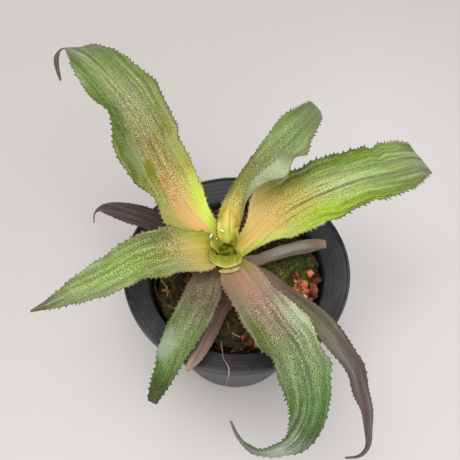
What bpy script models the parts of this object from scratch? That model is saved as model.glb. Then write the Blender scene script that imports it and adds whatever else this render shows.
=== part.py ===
"""A bromeliad rosette growing in a round plastic nursery pot.

Metres, +Z up. The origin is the centre of the underside of the pot, which stands on the ground.
The pot holds a plug of growing medium, the stem stands in a socket in the plug, and every leaf
starts from the stem at its own level. Neighbouring pieces rest on each other with GAP between.
"""

import bpy
import numpy as np

MM = 0.001

# Pot
RIM_RADIUS = 57.5 * MM  # outside of the lip
POT_HEIGHT = 85.0 * MM
BASE_RADIUS = 36.5 * MM  # outside of the foot
WALL = 1.4 * MM
FLOOR = 2.0 * MM
COLLAR_WIDTH = 11.9 * MM  # lip to throat, seen from above
COLLAR_DROP = 7.3 * MM  # how far the collar slopes down to the throat
BEAD = 1.3 * MM  # width of the raised edge of the lip
SKIRT = 3.4 * MM  # height of the outside edge of the lip
DRAIN_SLOTS = 6
DRAIN_IN = 22.0 * MM
DRAIN_OUT = 28.0 * MM

# Growing medium
PLUG_MARGIN = 3.2 * MM  # open ring between the throat and the plug
PLUG_BELOW_RIM = 8.5 * MM
FILL_BELOW_RIM = 27.0 * MM  # bottom of the open ring
LUMP = 0.7 * MM  # height of the lumps on the plug
SOCKET_DEPTH = 10.0 * MM

# Plant
CROWN = np.array([-5.0, 0.0]) * MM  # where the stem stands
STEM_RADIUS = 5.0 * MM
STEM_ABOVE_RIM = 12.0 * MM
LEAF_THICKNESS = 1.3 * MM
TOP_LEVEL = 10.0 * MM  # height above the rim where the uppermost whole leaves start
LEVEL_PITCH = 4.0 * MM
MARGIN_WAVE = 0.7 * MM

# Fits
GAP = 0.3 * MM
SEAT = 0.4 * MM  # gap under a piece lying on the lumpy medium
BASE_GAP = 0.95 * MM  # from the stem to the middle of a blade's base
FACET = 6.0 * MM  # about how long a facet of the rim is
RING_PITCH = 4.6 * MM  # about how far apart the rings on top of the plug are

# Each leaf: level below the uppermost, heading of its base in degrees, cells across, cells along,
# colour, then stations from the stem outwards. A station is x, y, height above the rim, width left
# and right of the midrib, and how far each half curls up in degrees. Lengths in millimetres.
LEAVES = {
    "leaf_back_left": (1, 133, 6, 24, (0.24, 0.36, 0.12), [
        (-14, 8, 13, 7, 7, 10, 40),
        (-23, 14, 21, 12, 11.5, -5, 32),
        (-32, 23, 33, 15, 14.5, 8, 22),
        (-41, 35, 46, 18, 15.5, 14, 14),
        (-50, 49, 56, 17, 16.5, 12, 12),
        (-64, 67, 62, 12.5, 17, 12, 12),
        (-76, 81, 63, 9.5, 15.5, 12, 12),
        (-85, 91, 60, 5, 9.5, 10, 10),
        (-93, 100, 55, 1.8, 1.8, 0, 0),
        (-99, 104, 47, 1.8, 1.8, 0, 0),
        (-101, 105, 39, 1.4, 1.4, 0, 0),
        (-101, 104, 31, 0.6, 0.6, 0, 0),
    ]),
    "leaf_back": (0, 85, 10, 18, (0.3, 0.42, 0.18), [
        (-4, 8, 19, 6.5, 6, 55, 55),
        (-3, 13, 29, 5, 8.5, 50, 95),
        (2, 20, 38, 3.5, 12, 40, 140),
        (10, 28, 46, 3.5, 14, 30, 120),
        (19, 34, 51, 5, 12, 20, 80),
        (28, 44, 52, 6, 10, 10, 25),
        (36, 58, 48, 5, 7.5, 5, 5),
        (41, 70, 42, 3.5, 4, 0, 0),
    ]),
    "leaf_back_right": (1, 28, 6, 20, (0.28, 0.42, 0.12), [
        (8, 7, 13, 7, 8, 40, 40),
        (19, 13, 22, 15, 15, 32, 30),
        (30, 16, 30, 16, 16.5, 22, 20),
        (43, 20, 35, 15.5, 15.5, 14, 14),
        (58, 26, 36, 16, 15.5, 10, 10),
        (76, 34, 32, 15.5, 13, 8, 8),
        (90, 43, 26, 14, 10.5, 5, 5),
        (101, 50, 18, 10.5, 7.5, 0, 0),
        (107, 54, 10, 6, 5, 0, 0),
    ]),
    "leaf_left": (0, 186, 6, 20, (0.27, 0.44, 0.14), [
        (-14, -1, 14.5, 9.5, 8, 40, 50),
        (-22, -4, 18.5, 11.5, 9.5, 30, 45),
        (-32, -6, 20.5, 13, 11, 20, 30),
        (-40, -9, 22, 12, 11, 12, 12),
        (-48, -13, 22, 10.5, 10.5, 12, 12),
        (-56, -17, 20, 9.5, 9.5, 12, 12),
        (-64, -20, 17, 8, 8.5, 12, 12),
        (-75, -23, 13, 6, 6, 12, 12),
        (-85, -26, 9, 3.8, 3, 10, 10),
        (-92, -28, 6, 1.5, 1.5, 0, 0),
        (-97, -29, 4, 0.6, 0.6, 0, 0),
    ]),
    "leaf_front_left": (1, 238, 6, 16, (0.2, 0.3, 0.1), [
        (-12, -9, 8, 5.5, 5.5, 20, 20),
        (-16, -21, 10, 8.5, 8, 4, 4),
        (-20, -33, 11, 8.8, 8.2, -8, -8),
        (-24, -42, 10, 7.8, 8.2, -8, -8),
        (-28, -50, 7.5, 6.5, 6.8, -8, -8),
        (-31, -57, 4, 5, 5.5, -8, -8),
        (-35, -63, -2, 3.6, 3.8, -4, -4),
        (-38, -68, -7, 2.2, 2.2, 0, 0),
    ]),
    "leaf_front_narrow": (3, 268, 4, 14, (0.16, 0.1, 0.09), [
        (-4, -14, -1, 4, 4, -20, -20),
        (-8, -26, 0, 4, 4, -40, -40),
        (-13, -38, 2, 3.8, 3.8, -45, -45),
        (-17, -48, 4, 3.5, 3.5, -45, -45),
        (-20, -54, 5, 2.6, 2.6, -30, -30),
        (-22, -58, 5, 0.7, 0.7, 0, 0),
    ]),
    "leaf_front_right": (0, 298, 6, 26, (0.2, 0.3, 0.13), [
        (1, -12, 11, 9, 10, 20, 20),
        (6, -23, 14, 12.5, 11, 10, 10),
        (12, -34, 17, 14.5, 12.5, 4, 4),
        (18, -45, 18.5, 15.5, 12, 0, 0),
        (24, -54, 18, 12, 10, -5, -5),
        (27, -62, 15.5, 12, 10.8, -8, -8),
        (29, -69, 10.5, 11.5, 10.5, -8, -8),
        (29, -75, 4.5, 10.5, 8.5, -8, -8),
        (27, -80, -2, 10, 6, 0, 0),
        (22, -85, -8, 7.5, 4.2, 0, 0),
        (15, -87, -12.5, 4.5, 3.5, 0, 0),
        (8, -87, -15, 3.5, 3, 0, 0),
        (2, -83, -15, 3, 2.2, 0, 0),
        (-1, -79, -13, 1.8, 1.5, 0, 0),
        (-3, -75, -11, 0.6, 0.6, 0, 0),
    ]),
    "leaf_right_drooping": (2, 333, 4, 18, (0.15, 0.12, 0.1), [
        (13, -9, 2, 4, 5.5, 0, 0),
        (22, -18, 4, 4, 6, 0, 0),
        (29, -26, 7, 4.5, 6, 0, 0),
        (35, -34, 9, 5.2, 5.2, 0, 0),
        (41, -43, 10, 6, 5, 0, 0),
        (46, -51, 9, 5.5, 4.2, 0, 0),
        (51, -58, 6, 5, 4, 0, 0),
        (53, -65, 2, 3.8, 4.2, 0, 0),
        (56, -72, -3, 2.8, 2.8, 0, 0),
        (57, -79, -10, 2, 1.9, 0, 0),
        (57, -85, -16, 1.5, 1.3, 0, 0),
        (54, -88, -19, 1.2, 1, 0, 0),
        (48, -88, -22, 0.6, 0.6, 0, 0),
    ]),
    "leaf_right_short": (3, 12, 4, 12, (0.16, 0.16, 0.11), [
        (13, 3, -1, 3.5, 3.5, -25, -25),
        (23, 6, 1.5, 3.8, 3.8, -30, -30),
        (34, 8, 3.5, 3.8, 3.8, -30, -30),
        (42, 9, 4, 3.4, 3.4, -20, -20),
        (46, 9, 3.6, 2.4, 2.4, 0, 0),
    ]),
    "leaf_left_old": (2, 157, 4, 14, (0.12, 0.08, 0.075), [
        (-22, 9, 3, 4.5, 4.5, -5, -5),
        (-37, 18, 6.5, 6, 6, -15, -15),
        (-46, 22, 9, 6.2, 6.2, -20, -20),
        (-55, 24, 10.5, 6, 6, -20, -20),
        (-65, 28, 9.5, 4.8, 4.8, -20, -20),
        (-72, 31, 6, 2.6, 2.6, 0, 0),
        (-77, 31, 1, 1.3, 1.3, 0, 0),
        (-78, 29, -5, 0.5, 0.5, 0, 0),
    ]),
}

# Short leaves closing the heart: heading, then stations as reach from the crown, height above the
# rim, half width, curl.
HEART_LEAVES = {
    "heart_leaf_front": (305, [(4.6, 16, 2.8, 50), (5.4, 20, 2.6, 50), (5.2, 23, 1.2, 30)]),
    "heart_leaf_back": (60, [(4.4, 18, 2.8, 55), (4.8, 23, 2.6, 55), (4.2, 27, 1.0, 30)]),
    "heart_leaf_left": (180, [(4.6, 17, 2.8, 50), (5.2, 21.5, 2.6, 50), (4.9, 25, 1.1, 30)]),
}
HEART_COLOUR = (0.42, 0.45, 0.06)

# Lumps lying on the plug: reach as a share of the plug radius, heading, half length, half width,
# height, turn, colour.
LUMPS = {
    "moss_cushion": (0.66, 1, 11.5, 10.5, 3.2, 5, (0.06, 0.09, 0.02)),
    "bark_chip_1": (0.96, 344, 3.6, 2.4, 3.0, 75, (0.42, 0.17, 0.07)),
    "bark_chip_2": (0.84, 339, 3.0, 2.0, 2.4, 60, (0.36, 0.14, 0.06)),
    "bark_chip_3": (0.95, 332, 3.2, 2.2, 2.6, 100, (0.45, 0.2, 0.09)),
    "bark_chip_4": (0.85, 325, 3.0, 2.0, 2.2, 40, (0.33, 0.13, 0.06)),
    "bark_chip_5": (0.88, 290, 3.4, 2.2, 2.2, 25, (0.3, 0.13, 0.06)),
    "bark_chip_6": (0.89, 277, 3.0, 2.0, 2.0, 160, (0.36, 0.16, 0.07)),
}

ROOT_RADIUS = 0.45 * MM
STRAW_RADIUS = 0.5 * MM
TWIG_RADIUS = 0.6 * MM

THROAT_RADIUS = RIM_RADIUS - COLLAR_WIDTH
THROAT_HEIGHT = POT_HEIGHT - COLLAR_DROP
PLUG_RADIUS = THROAT_RADIUS - PLUG_MARGIN
PLUG_TOP = POT_HEIGHT - PLUG_BELOW_RIM
STEM_TOP = POT_HEIGHT + STEM_ABOVE_RIM
ROUND = DRAIN_SLOTS * round(2.0 * np.pi * RIM_RADIUS / (FACET * DRAIN_SLOTS))  # segments of the pot and the medium


def material(name, colour, roughness):
    """One plain material: colour as linear red, green, blue."""
    made = bpy.data.materials.new(name)
    made.use_nodes = True
    shader = made.node_tree.nodes["Principled BSDF"]
    shader.inputs["Base Color"].default_value = (*colour, 1.0)
    shader.inputs["Roughness"].default_value = roughness
    shader.inputs["Metallic"].default_value = 0.0
    return made


def add(name, points, faces, made):
    """One closed body with smooth shading that breaks at hard edges."""
    mesh = bpy.data.meshes.new(name)
    mesh.from_pydata([tuple(map(float, p)) for p in points], [], faces)
    mesh.validate()
    mesh.shade_smooth()
    mesh.set_sharp_from_angle(angle=np.radians(35.0))
    mesh.materials.append(made)
    body = bpy.data.objects.new(name, mesh)
    bpy.context.scene.collection.objects.link(body)
    return body


def smoothstep(value):
    value = np.clip(value, 0.0, 1.0)
    return value * value * (3.0 - 2.0 * value)


def blend(stations, count):
    """A smooth curve through the stations, resampled to even steps along its length.

    Each station is a row whose first three numbers are a place; the rest ride along with it.
    """
    rows = np.asarray(stations, float)
    steps = np.linalg.norm(np.diff(rows[:, :3], axis=0), axis=1)
    at = np.concatenate([[0.0], np.cumsum(steps)])
    slopes = np.diff(rows, axis=0) / steps[:, None]
    lean = np.empty_like(rows)
    lean[0], lean[-1] = slopes[0], slopes[-1]
    share = (steps[1:] / (steps[:-1] + steps[1:]))[:, None]
    lean[1:-1] = slopes[:-1] * share + slopes[1:] * (1.0 - share)
    fine = np.linspace(0.0, at[-1], 800)
    k = np.clip(np.searchsorted(at, fine, side="right") - 1, 0, len(rows) - 2)
    t = ((fine - at[k]) / steps[k])[:, None]
    h = steps[k][:, None]
    curve = (
        (2 * t**3 - 3 * t**2 + 1) * rows[k]
        + (t**3 - 2 * t**2 + t) * h * lean[k]
        + (3 * t**2 - 2 * t**3) * rows[k + 1]
        + (t**3 - t**2) * h * lean[k + 1]
    )
    run = np.concatenate([[0.0], np.cumsum(np.linalg.norm(np.diff(curve[:, :3], axis=0), axis=1))])
    even = np.linspace(0.0, run[-1], count)
    return np.stack([np.interp(even, run, column) for column in curve.T], axis=1)


def frames(spine):
    """Along, sideways (to the right) and up directions carried along a spine without twisting."""
    along = np.gradient(spine, axis=0)
    along /= np.linalg.norm(along, axis=1)[:, None]
    side = np.empty_like(along)
    side[0] = np.cross(along[0], (0.0, 0.0, 1.0))
    for i in range(len(along)):
        previous = side[max(i - 1, 0)]
        carried = previous - along[i] * (previous @ along[i])
        side[i] = carried / np.linalg.norm(carried)
    return along, side, np.cross(side, along)


def leaf(name, stations, across, along, colour):
    """A blade: at each station every half is an arc as long as its width, bent by its curl.

    The blade is thickest on the midrib and its margins rise and fall in a slow wave.
    """
    table = blend(stations, along + 1)
    _, side, up = frames(table[:, :3])
    v = np.linspace(-1.0, 1.0, across + 1)[None]
    u = np.linspace(0.0, 1.0, along + 1)[:, None]
    width = np.where(v < 0, table[:, 3:4], table[:, 4:5])
    bend = np.radians(np.where(v < 0, table[:, 5:6], table[:, 6:7]))
    bend = np.where(np.abs(bend) < 1e-3, 1e-3, bend)
    angle = bend * np.abs(v)
    outward = np.sign(v) * width * np.sin(angle) / bend
    lift = width * (1.0 - np.cos(angle)) / bend
    wave = np.where(v < 0, np.sin(17.0 * u + 0.6), np.sin(19.0 * u + 2.1))
    slack = smoothstep(u / 0.3) * np.clip(width / (8.0 * MM), 0.0, 1.0)
    lift = lift + MARGIN_WAVE * v**2 * wave * slack
    middle = table[:, None, :3] + outward[..., None] * side[:, None] + lift[..., None] * up[:, None]
    normal = (
        np.cos(angle)[..., None] * up[:, None] - (np.sign(v) * np.sin(angle))[..., None] * side[:, None]
    )
    half = 0.5 * LEAF_THICKNESS * (1.0 - 0.6 * v**2) * (1.0 - 0.45 * u)
    skin = np.stack([middle + half[..., None] * normal, middle - half[..., None] * normal])
    shape = skin.shape[1:3]
    index = np.arange(2 * shape[0] * shape[1]).reshape(2, *shape)
    top, under = index
    faces = []
    for i in range(shape[0] - 1):
        for j in range(shape[1] - 1):
            faces.append((top[i, j], top[i, j + 1], top[i + 1, j + 1], top[i + 1, j]))
            faces.append((under[i, j], under[i + 1, j], under[i + 1, j + 1], under[i, j + 1]))
        faces.append((top[i, 0], top[i + 1, 0], under[i + 1, 0], under[i, 0]))
        faces.append((top[i + 1, -1], top[i, -1], under[i, -1], under[i + 1, -1]))
    for j in range(shape[1] - 1):
        faces.append((top[0, j + 1], top[0, j], under[0, j], under[0, j + 1]))
        faces.append((top[-1, j], top[-1, j + 1], under[-1, j + 1], under[-1, j]))
    faces = [tuple(int(k) for k in face) for face in faces]
    return add(name, skin.reshape(-1, 3), faces, material(name, colour, 0.45))


def stem_radius(height):
    """The stem tapers over its last few millimetres."""
    return STEM_RADIUS * (1.0 - 0.4 * smoothstep((height - STEM_TOP + 3.0 * MM) / (3.0 * MM)))


def base_station(heading, height, half_width, curl):
    """Where a leaf starts: just clear of the stem on its own heading."""
    turn = np.radians(heading)
    reach = stem_radius(height) + BASE_GAP
    place = CROWN + reach * np.array([np.cos(turn), np.sin(turn)])
    return (*place, height, half_width, half_width, curl, curl)


def build_leaves():
    """Every whole leaf from its table, then the short heart leaves."""
    units = np.array([MM, MM, MM, MM, MM, 1.0, 1.0])
    rim = np.array([0.0, 0.0, POT_HEIGHT, 0.0, 0.0, 0.0, 0.0])
    for name, (level, heading, across, along, colour, rows) in LEAVES.items():
        first = rows[0]
        height = POT_HEIGHT + TOP_LEVEL - level * LEVEL_PITCH
        start = base_station(heading, height, min(first[3], 4.5) * MM, 0.5 * first[5])
        stations = [start] + [np.array(row) * units + rim for row in rows]
        leaf(name, stations, across, along, colour)
    for name, (heading, rows) in HEART_LEAVES.items():
        turn = np.radians(heading)
        way = np.array([np.cos(turn), np.sin(turn)])
        stations = [base_station(heading, STEM_TOP + GAP, 2.0 * MM, 40.0)]
        for reach, height, width, curl in rows:
            place = CROWN + reach * MM * way
            stations.append((*place, POT_HEIGHT + height * MM, width * MM, width * MM, curl, curl))
        leaf(name, stations, 4, 7, HEART_COLOUR)


def turned(profile, segments, centre=(0.0, 0.0), wobble=None):
    """Points of a profile turned round an upright axis; its first and last points are on the axis.

    wobble gives each ring's radius and height from its number, radius, height and angles.
    """
    turn = np.arange(segments) * 2.0 * np.pi / segments
    points = [(centre[0], centre[1], profile[0][1])]
    for number, (radius, height) in enumerate(profile[1:-1]):
        ring, level = np.full(segments, radius), np.full(segments, height)
        if wobble:
            ring, level = wobble(number, ring, level, turn)
        points += list(zip(centre[0] + ring * np.cos(turn), centre[1] + ring * np.sin(turn), level))
    points.append((centre[0], centre[1], profile[-1][1]))
    return points


def turned_faces(rings, segments, skip=()):
    """Faces between neighbouring rings and fans to both poles; skip lists cells left open."""
    faces = []
    last = 1 + rings * segments
    for i in range(segments):
        j = (i + 1) % segments
        faces.append((0, 1 + j, 1 + i))
        for k in range(rings - 1):
            if (k, i) not in skip:
                a, b = 1 + k * segments, 1 + (k + 1) * segments
                faces.append((a + i, a + j, b + j, b + i))
        tail = 1 + (rings - 1) * segments
        faces.append((tail + i, tail + j, last))
    return faces


def inner_wall(height):
    """Radius of the inside of the pot below the throat."""
    share = (height - FLOOR) / (THROAT_HEIGHT - FLOOR)
    return BASE_RADIUS - WALL + (THROAT_RADIUS - BASE_RADIUS + WALL) * share


def build_pot():
    """A thin tapered pot with a wide sloping collar, a beaded lip and slots in its floor."""
    bead_in = RIM_RADIUS - BEAD
    slope = (COLLAR_DROP - 0.8 * MM) / (COLLAR_WIDTH - BEAD)
    body_out = THROAT_RADIUS + WALL
    under_drop = WALL * np.hypot(1.0, slope)
    profile = [
        (0.0, 0.0),
        (DRAIN_IN, 0.0),
        (DRAIN_OUT, 0.0),
        (BASE_RADIUS - 0.8 * MM, 0.0),
        (BASE_RADIUS, 0.8 * MM),
        (body_out, THROAT_HEIGHT + WALL * slope - under_drop),
        (bead_in, POT_HEIGHT - 0.8 * MM - under_drop),
        (bead_in, POT_HEIGHT - SKIRT),
        (RIM_RADIUS, POT_HEIGHT - SKIRT),
        (RIM_RADIUS, POT_HEIGHT - 0.5 * MM),
        (RIM_RADIUS - 0.4 * MM, POT_HEIGHT),
        (bead_in + 0.3 * MM, POT_HEIGHT),
        (bead_in, POT_HEIGHT - 0.8 * MM),
        (THROAT_RADIUS, THROAT_HEIGHT),
        (inner_wall(FLOOR), FLOOR),
        (DRAIN_OUT, FLOOR),
        (DRAIN_IN, FLOOR),
        (0.0, FLOOR),
    ]
    rings = len(profile) - 2
    under, above = 0, rings - 2
    pitch = ROUND // DRAIN_SLOTS
    open_cells = {slot * pitch + step for slot in range(DRAIN_SLOTS) for step in range(3)}
    skip = {(band, i) for band in (under, above) for i in open_cells}
    faces = turned_faces(rings, ROUND, skip)

    def at(ring, i):
        return 1 + ring * ROUND + i % ROUND

    for i in open_cells:
        faces.append((at(under, i), at(under, i + 1), at(above + 1, i + 1), at(above + 1, i)))
        faces.append((at(under + 1, i + 1), at(under + 1, i), at(above, i), at(above, i + 1)))
        if (i - 1) % ROUND not in open_cells:
            faces.append((at(under + 1, i), at(under, i), at(above + 1, i), at(above, i)))
        if (i + 1) % ROUND not in open_cells:
            faces.append((at(under, i + 1), at(under + 1, i + 1), at(above, i + 1), at(above + 1, i + 1)))
    add("pot", turned(profile, ROUND), faces, material("pot", (0.03, 0.031, 0.035), 0.5))


def lumps(x, y):
    """Uneven ground: three crossed waves."""
    return (
        np.sin(x / (3.1 * MM) + 0.8) * np.sin(y / (3.7 * MM))
        + 0.6 * np.sin((x + y) / (2.9 * MM) + 1.9)
        + 0.5 * np.sin((x - 0.6 * y) / (4.3 * MM))
    )


def medium_top(x, y):
    """Height of the top of the plug: a shallow mound with lumps, level around the stem."""
    from_crown = np.hypot(x - CROWN[0], y - CROWN[1])
    share = np.hypot(x, y) / PLUG_RADIUS
    rough = LUMP * smoothstep((from_crown - 1.4 * STEM_RADIUS) / (1.4 * STEM_RADIUS))
    return PLUG_TOP + 1.2 * MM * (1.0 - share**2) + rough * lumps(x, y)


def build_medium():
    """A root plug standing up from the fill, with a socket for the stem.

    The rings are centred on the crown at the socket and move out to the pot's axis at the edge.
    """
    socket = STEM_RADIUS + GAP
    socket_floor = PLUG_TOP - SOCKET_DEPTH
    fill = POT_HEIGHT - FILL_BELOW_RIM
    bottom = FLOOR + GAP
    top_shares = (0.0, 0.06, 0.16, 0.28, 0.4, 0.52, 0.64, 0.76, 0.88, 0.96)
    places = np.linspace(0.0, len(top_shares) - 1.0, round(PLUG_RADIUS / RING_PITCH) + 1)
    turn = np.arange(ROUND) * 2.0 * np.pi / ROUND
    round_x, round_y = np.cos(turn), np.sin(turn)
    rings = [np.stack([CROWN[0] + socket * round_x, CROWN[1] + socket * round_y, 0 * turn + socket_floor], 1)]
    ragged = 1.0 + 0.02 * np.sin(5.0 * turn + 1.0) + 0.014 * np.sin(11.0 * turn) + 0.01 * np.sin(17.0 * turn)
    for share in np.interp(places, range(len(top_shares)), top_shares):
        reach = (socket * (1.0 - share) + PLUG_RADIUS * ragged * share)
        x = CROWN[0] * (1.0 - share) + reach * round_x
        y = CROWN[1] * (1.0 - share) + reach * round_y
        rings.append(np.stack([x, y, medium_top(x, y)], 1))
    for drop, share in ((1.5 * MM, 1.0), (8.0 * MM, 0.985), (16.0 * MM, 0.96)):
        reach = PLUG_RADIUS * share * (1.0 + (ragged - 1.0) * (1.0 if drop < 5.0 * MM else -0.6))
        reach = np.minimum(reach, inner_wall(PLUG_TOP - drop) - 1.5 * MM)
        rings.append(np.stack([reach * round_x, reach * round_y, 0 * turn + PLUG_TOP - drop], 1))
    foot = inner_wall(fill) - 1.2 * MM
    for radius, height in ((foot, fill), (inner_wall(fill) - GAP, fill), (inner_wall(bottom) - GAP, bottom)):
        rings.append(np.stack([radius * round_x, radius * round_y, 0 * turn + height], 1))
    points = [(CROWN[0], CROWN[1], socket_floor), *np.concatenate(rings), (0.0, 0.0, bottom)]
    faces = [tuple(reversed(face)) for face in turned_faces(len(rings), ROUND)]
    add("growing_medium", points, faces, material("growing_medium", (0.03, 0.024, 0.014), 0.95))


def build_stem():
    """A short round stem standing in the socket of the plug."""
    bottom = PLUG_TOP - SOCKET_DEPTH + GAP
    heights = [bottom + 0.6 * MM, PLUG_TOP, POT_HEIGHT, STEM_TOP - 3.0 * MM, STEM_TOP - 1.5 * MM, STEM_TOP - 0.3 * MM]
    profile = [(0.0, bottom), (0.9 * STEM_RADIUS, bottom)]
    profile += [(float(stem_radius(height)), height) for height in heights]
    profile += [(0.4 * STEM_RADIUS, STEM_TOP), (0.0, STEM_TOP)]
    points = turned(profile, 24, CROWN)
    faces = turned_faces(len(profile) - 2, 24)
    add("stem", points, faces, material("stem", (0.16, 0.15, 0.06), 0.7))


def build_lumps():
    """Moss and bark lying on the plug, each with an underside that follows the ground."""
    for number, (name, row) in enumerate(LUMPS.items()):
        share, heading, length, width, height, turn, colour = row
        segments, shells = (28, (0.35, 0.65, 0.88, 1.0)) if length > 6 else (12, (0.5, 0.85, 1.0))
        way = np.radians(heading)
        centre = share * PLUG_RADIUS * np.array([np.cos(way), np.sin(way)])
        angle = np.arange(segments) * 2.0 * np.pi / segments
        edge = 1.0 + 0.09 * np.sin(3.0 * angle + number) + 0.06 * np.sin(5.0 * angle + 2.0 * number)
        spin = np.radians(turn)
        rings, tops = [], []
        for shell in shells:
            a = length * MM * shell * edge * np.cos(angle)
            b = width * MM * shell * edge * np.sin(angle)
            x = centre[0] + a * np.cos(spin) - b * np.sin(spin)
            y = centre[1] + a * np.sin(spin) + b * np.cos(spin)
            seat = medium_top(x, y) + SEAT
            thick = height * MM * (1.0 - 0.75 * shell**4) * (1.0 + 0.12 * np.sin(2.0 * angle + 3.0 * shell + number))
            rings.append(np.stack([x, y, seat], 1))
            tops.append(np.stack([x, y, seat + thick], 1))
        ground = medium_top(*centre) + SEAT
        points = [(*centre, ground), *np.concatenate(rings + tops[::-1]), (*centre, ground + height * MM)]
        faces = turned_faces(2 * len(shells), segments)
        add(name, points, faces, material(name, colour, 0.9))


def thread(name, places, radius, colour):
    """A round thread of one thickness through the given places, thinning towards its far end."""
    count = 4 * len(places)
    spine = blend(places, count)
    _, side, up = frames(spine)
    turn = np.arange(8) * np.pi / 4.0
    thin = radius * (1.0 - 0.5 * np.linspace(0.0, 1.0, count) ** 2)
    ring = side[:, None] * np.cos(turn)[None, :, None] + up[:, None] * np.sin(turn)[None, :, None]
    rings = spine[:, None] + thin[:, None, None] * ring
    points = [spine[0], *rings.reshape(-1, 3), spine[-1]]
    faces = [tuple(reversed(face)) for face in turned_faces(count, 8)]
    add(name, points, faces, material(name, colour, 0.8))


def on_plug(share, heading, above):
    """A place over the plug: share of its radius, heading, and height over the ground."""
    way = np.radians(heading)
    x, y = share * PLUG_RADIUS * np.cos(way), share * PLUG_RADIUS * np.sin(way)
    return (x, y, medium_top(x, y) + above)


def build_threads():
    """A loose root hanging over the lip and straws and a twig lying on the plug."""
    lip = RIM_RADIUS + GAP + ROOT_RADIUS
    collar = THROAT_HEIGHT + 0.45 * COLLAR_DROP
    root = [
        on_plug(0.93, 259, GAP + ROOT_RADIUS),
        (-6.3 * MM, -(THROAT_RADIUS + 0.3 * COLLAR_WIDTH), collar + 1.6 * MM),
        (-3.8 * MM, -(RIM_RADIUS - 0.5 * BEAD), POT_HEIGHT + GAP + ROOT_RADIUS + 0.2 * MM),
        (-4.3 * MM, -(lip + 0.5 * MM), POT_HEIGHT - 4.0 * MM),
        (-4.9 * MM, -(lip + 0.3 * MM), POT_HEIGHT - 10.0 * MM),
        (-4.6 * MM, -(lip + 0.2 * MM), POT_HEIGHT - 16.0 * MM),
    ]
    thread("loose_root", root, ROOT_RADIUS, (0.55, 0.47, 0.38))
    lie = SEAT + STRAW_RADIUS
    straw = [on_plug(0.93, 188, lie), on_plug(0.88, 193, lie + 0.5 * MM), on_plug(0.9, 204, lie)]
    thread("straw_left", straw, STRAW_RADIUS, (0.5, 0.36, 0.14))
    straw = [on_plug(0.6, 255, lie), on_plug(0.75, 262, lie + 0.5 * MM), on_plug(0.9, 268, lie)]
    thread("straw_front", straw, STRAW_RADIUS, (0.45, 0.33, 0.14))
    lie = SEAT + TWIG_RADIUS
    twig = [on_plug(0.58, 322, lie), on_plug(0.64, 328, lie + 0.3 * MM), on_plug(0.73, 331, lie)]
    thread("twig", twig, TWIG_RADIUS, (0.42, 0.22, 0.1))


for leftover in list(bpy.data.objects):
    bpy.data.objects.remove(leftover)
build_pot()
build_medium()
build_stem()
build_lumps()
build_threads()
build_leaves()
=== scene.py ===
"""A bromeliad in a black plastic nursery pot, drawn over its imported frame.

Metres, +Z up, origin at the centre of the underside of the pot. Every piece is a surface worked
out as whole arrays and rides on the one body of the frame.
"""

import bpy
import numpy as np
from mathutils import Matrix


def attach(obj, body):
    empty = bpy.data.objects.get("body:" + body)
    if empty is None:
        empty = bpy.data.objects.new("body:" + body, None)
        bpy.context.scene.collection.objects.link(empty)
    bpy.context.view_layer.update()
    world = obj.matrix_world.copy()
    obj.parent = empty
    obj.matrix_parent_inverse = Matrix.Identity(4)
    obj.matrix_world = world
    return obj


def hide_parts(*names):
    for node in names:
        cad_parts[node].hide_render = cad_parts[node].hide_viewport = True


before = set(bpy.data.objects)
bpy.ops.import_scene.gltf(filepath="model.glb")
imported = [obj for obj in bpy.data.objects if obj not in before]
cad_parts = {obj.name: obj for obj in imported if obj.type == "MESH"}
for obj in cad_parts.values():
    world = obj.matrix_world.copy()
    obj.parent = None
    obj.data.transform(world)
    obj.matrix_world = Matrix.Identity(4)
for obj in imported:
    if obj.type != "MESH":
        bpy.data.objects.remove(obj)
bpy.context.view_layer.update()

MM = 0.001

# Pot
RIM_RADIUS = 57.5 * MM
POT_HEIGHT = 85.0 * MM
BASE_RADIUS = 36.5 * MM
WALL = 1.4 * MM
FLOOR = 2.0 * MM
COLLAR_WIDTH = 11.9 * MM
COLLAR_DROP = 7.3 * MM
BEAD = 1.3 * MM
SKIRT = 3.4 * MM
DRAIN_SLOTS = 6
DRAIN_IN = 22.0 * MM
DRAIN_OUT = 28.0 * MM
THROAT_RADIUS = RIM_RADIUS - COLLAR_WIDTH
THROAT_HEIGHT = POT_HEIGHT - COLLAR_DROP

# Growing medium
PLUG_RADIUS = THROAT_RADIUS - 3.2 * MM
PLUG_TOP = POT_HEIGHT - 8.5 * MM
FILL = POT_HEIGHT - 27.0 * MM
LUMP = 0.7 * MM

# Plant
CROWN = np.array([-5.0, 0.0]) * MM
STEM_RADIUS = 5.0 * MM
STEM_TOP = POT_HEIGHT + 12.0 * MM
BLADE = 1.1 * MM  # thickness on the midrib
TOOTH_PITCH = 2.6 * MM
LEAF_STEP = 0.3 * MM  # between the rows of points along a leaf
TOP_LEVEL = 10.0 * MM  # height above the rim where the uppermost leaves start
LEVEL_PITCH = 4.0 * MM
GAP = 0.3 * MM


# ---------------------------------------------------------------- numbers

def smoothstep(value, low=0.0, high=1.0):
    """0 below low, 1 above high, and 3t^2 - 2t^3 between."""
    t = np.clip((value - low) / (high - low), 0.0, 1.0)
    return t * t * (3.0 - 2.0 * t)


def chance(*lattice):
    """A repeatable number from 0 to 1 for each whole-number place: the fraction of a large sine."""
    mixed = sum(np.asarray(c, float) * k for c, k in zip(lattice, (127.1, 311.7, 74.7, 191.3)))
    return np.modf(np.abs(np.sin(mixed) * 43758.5453))[0]


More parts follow.
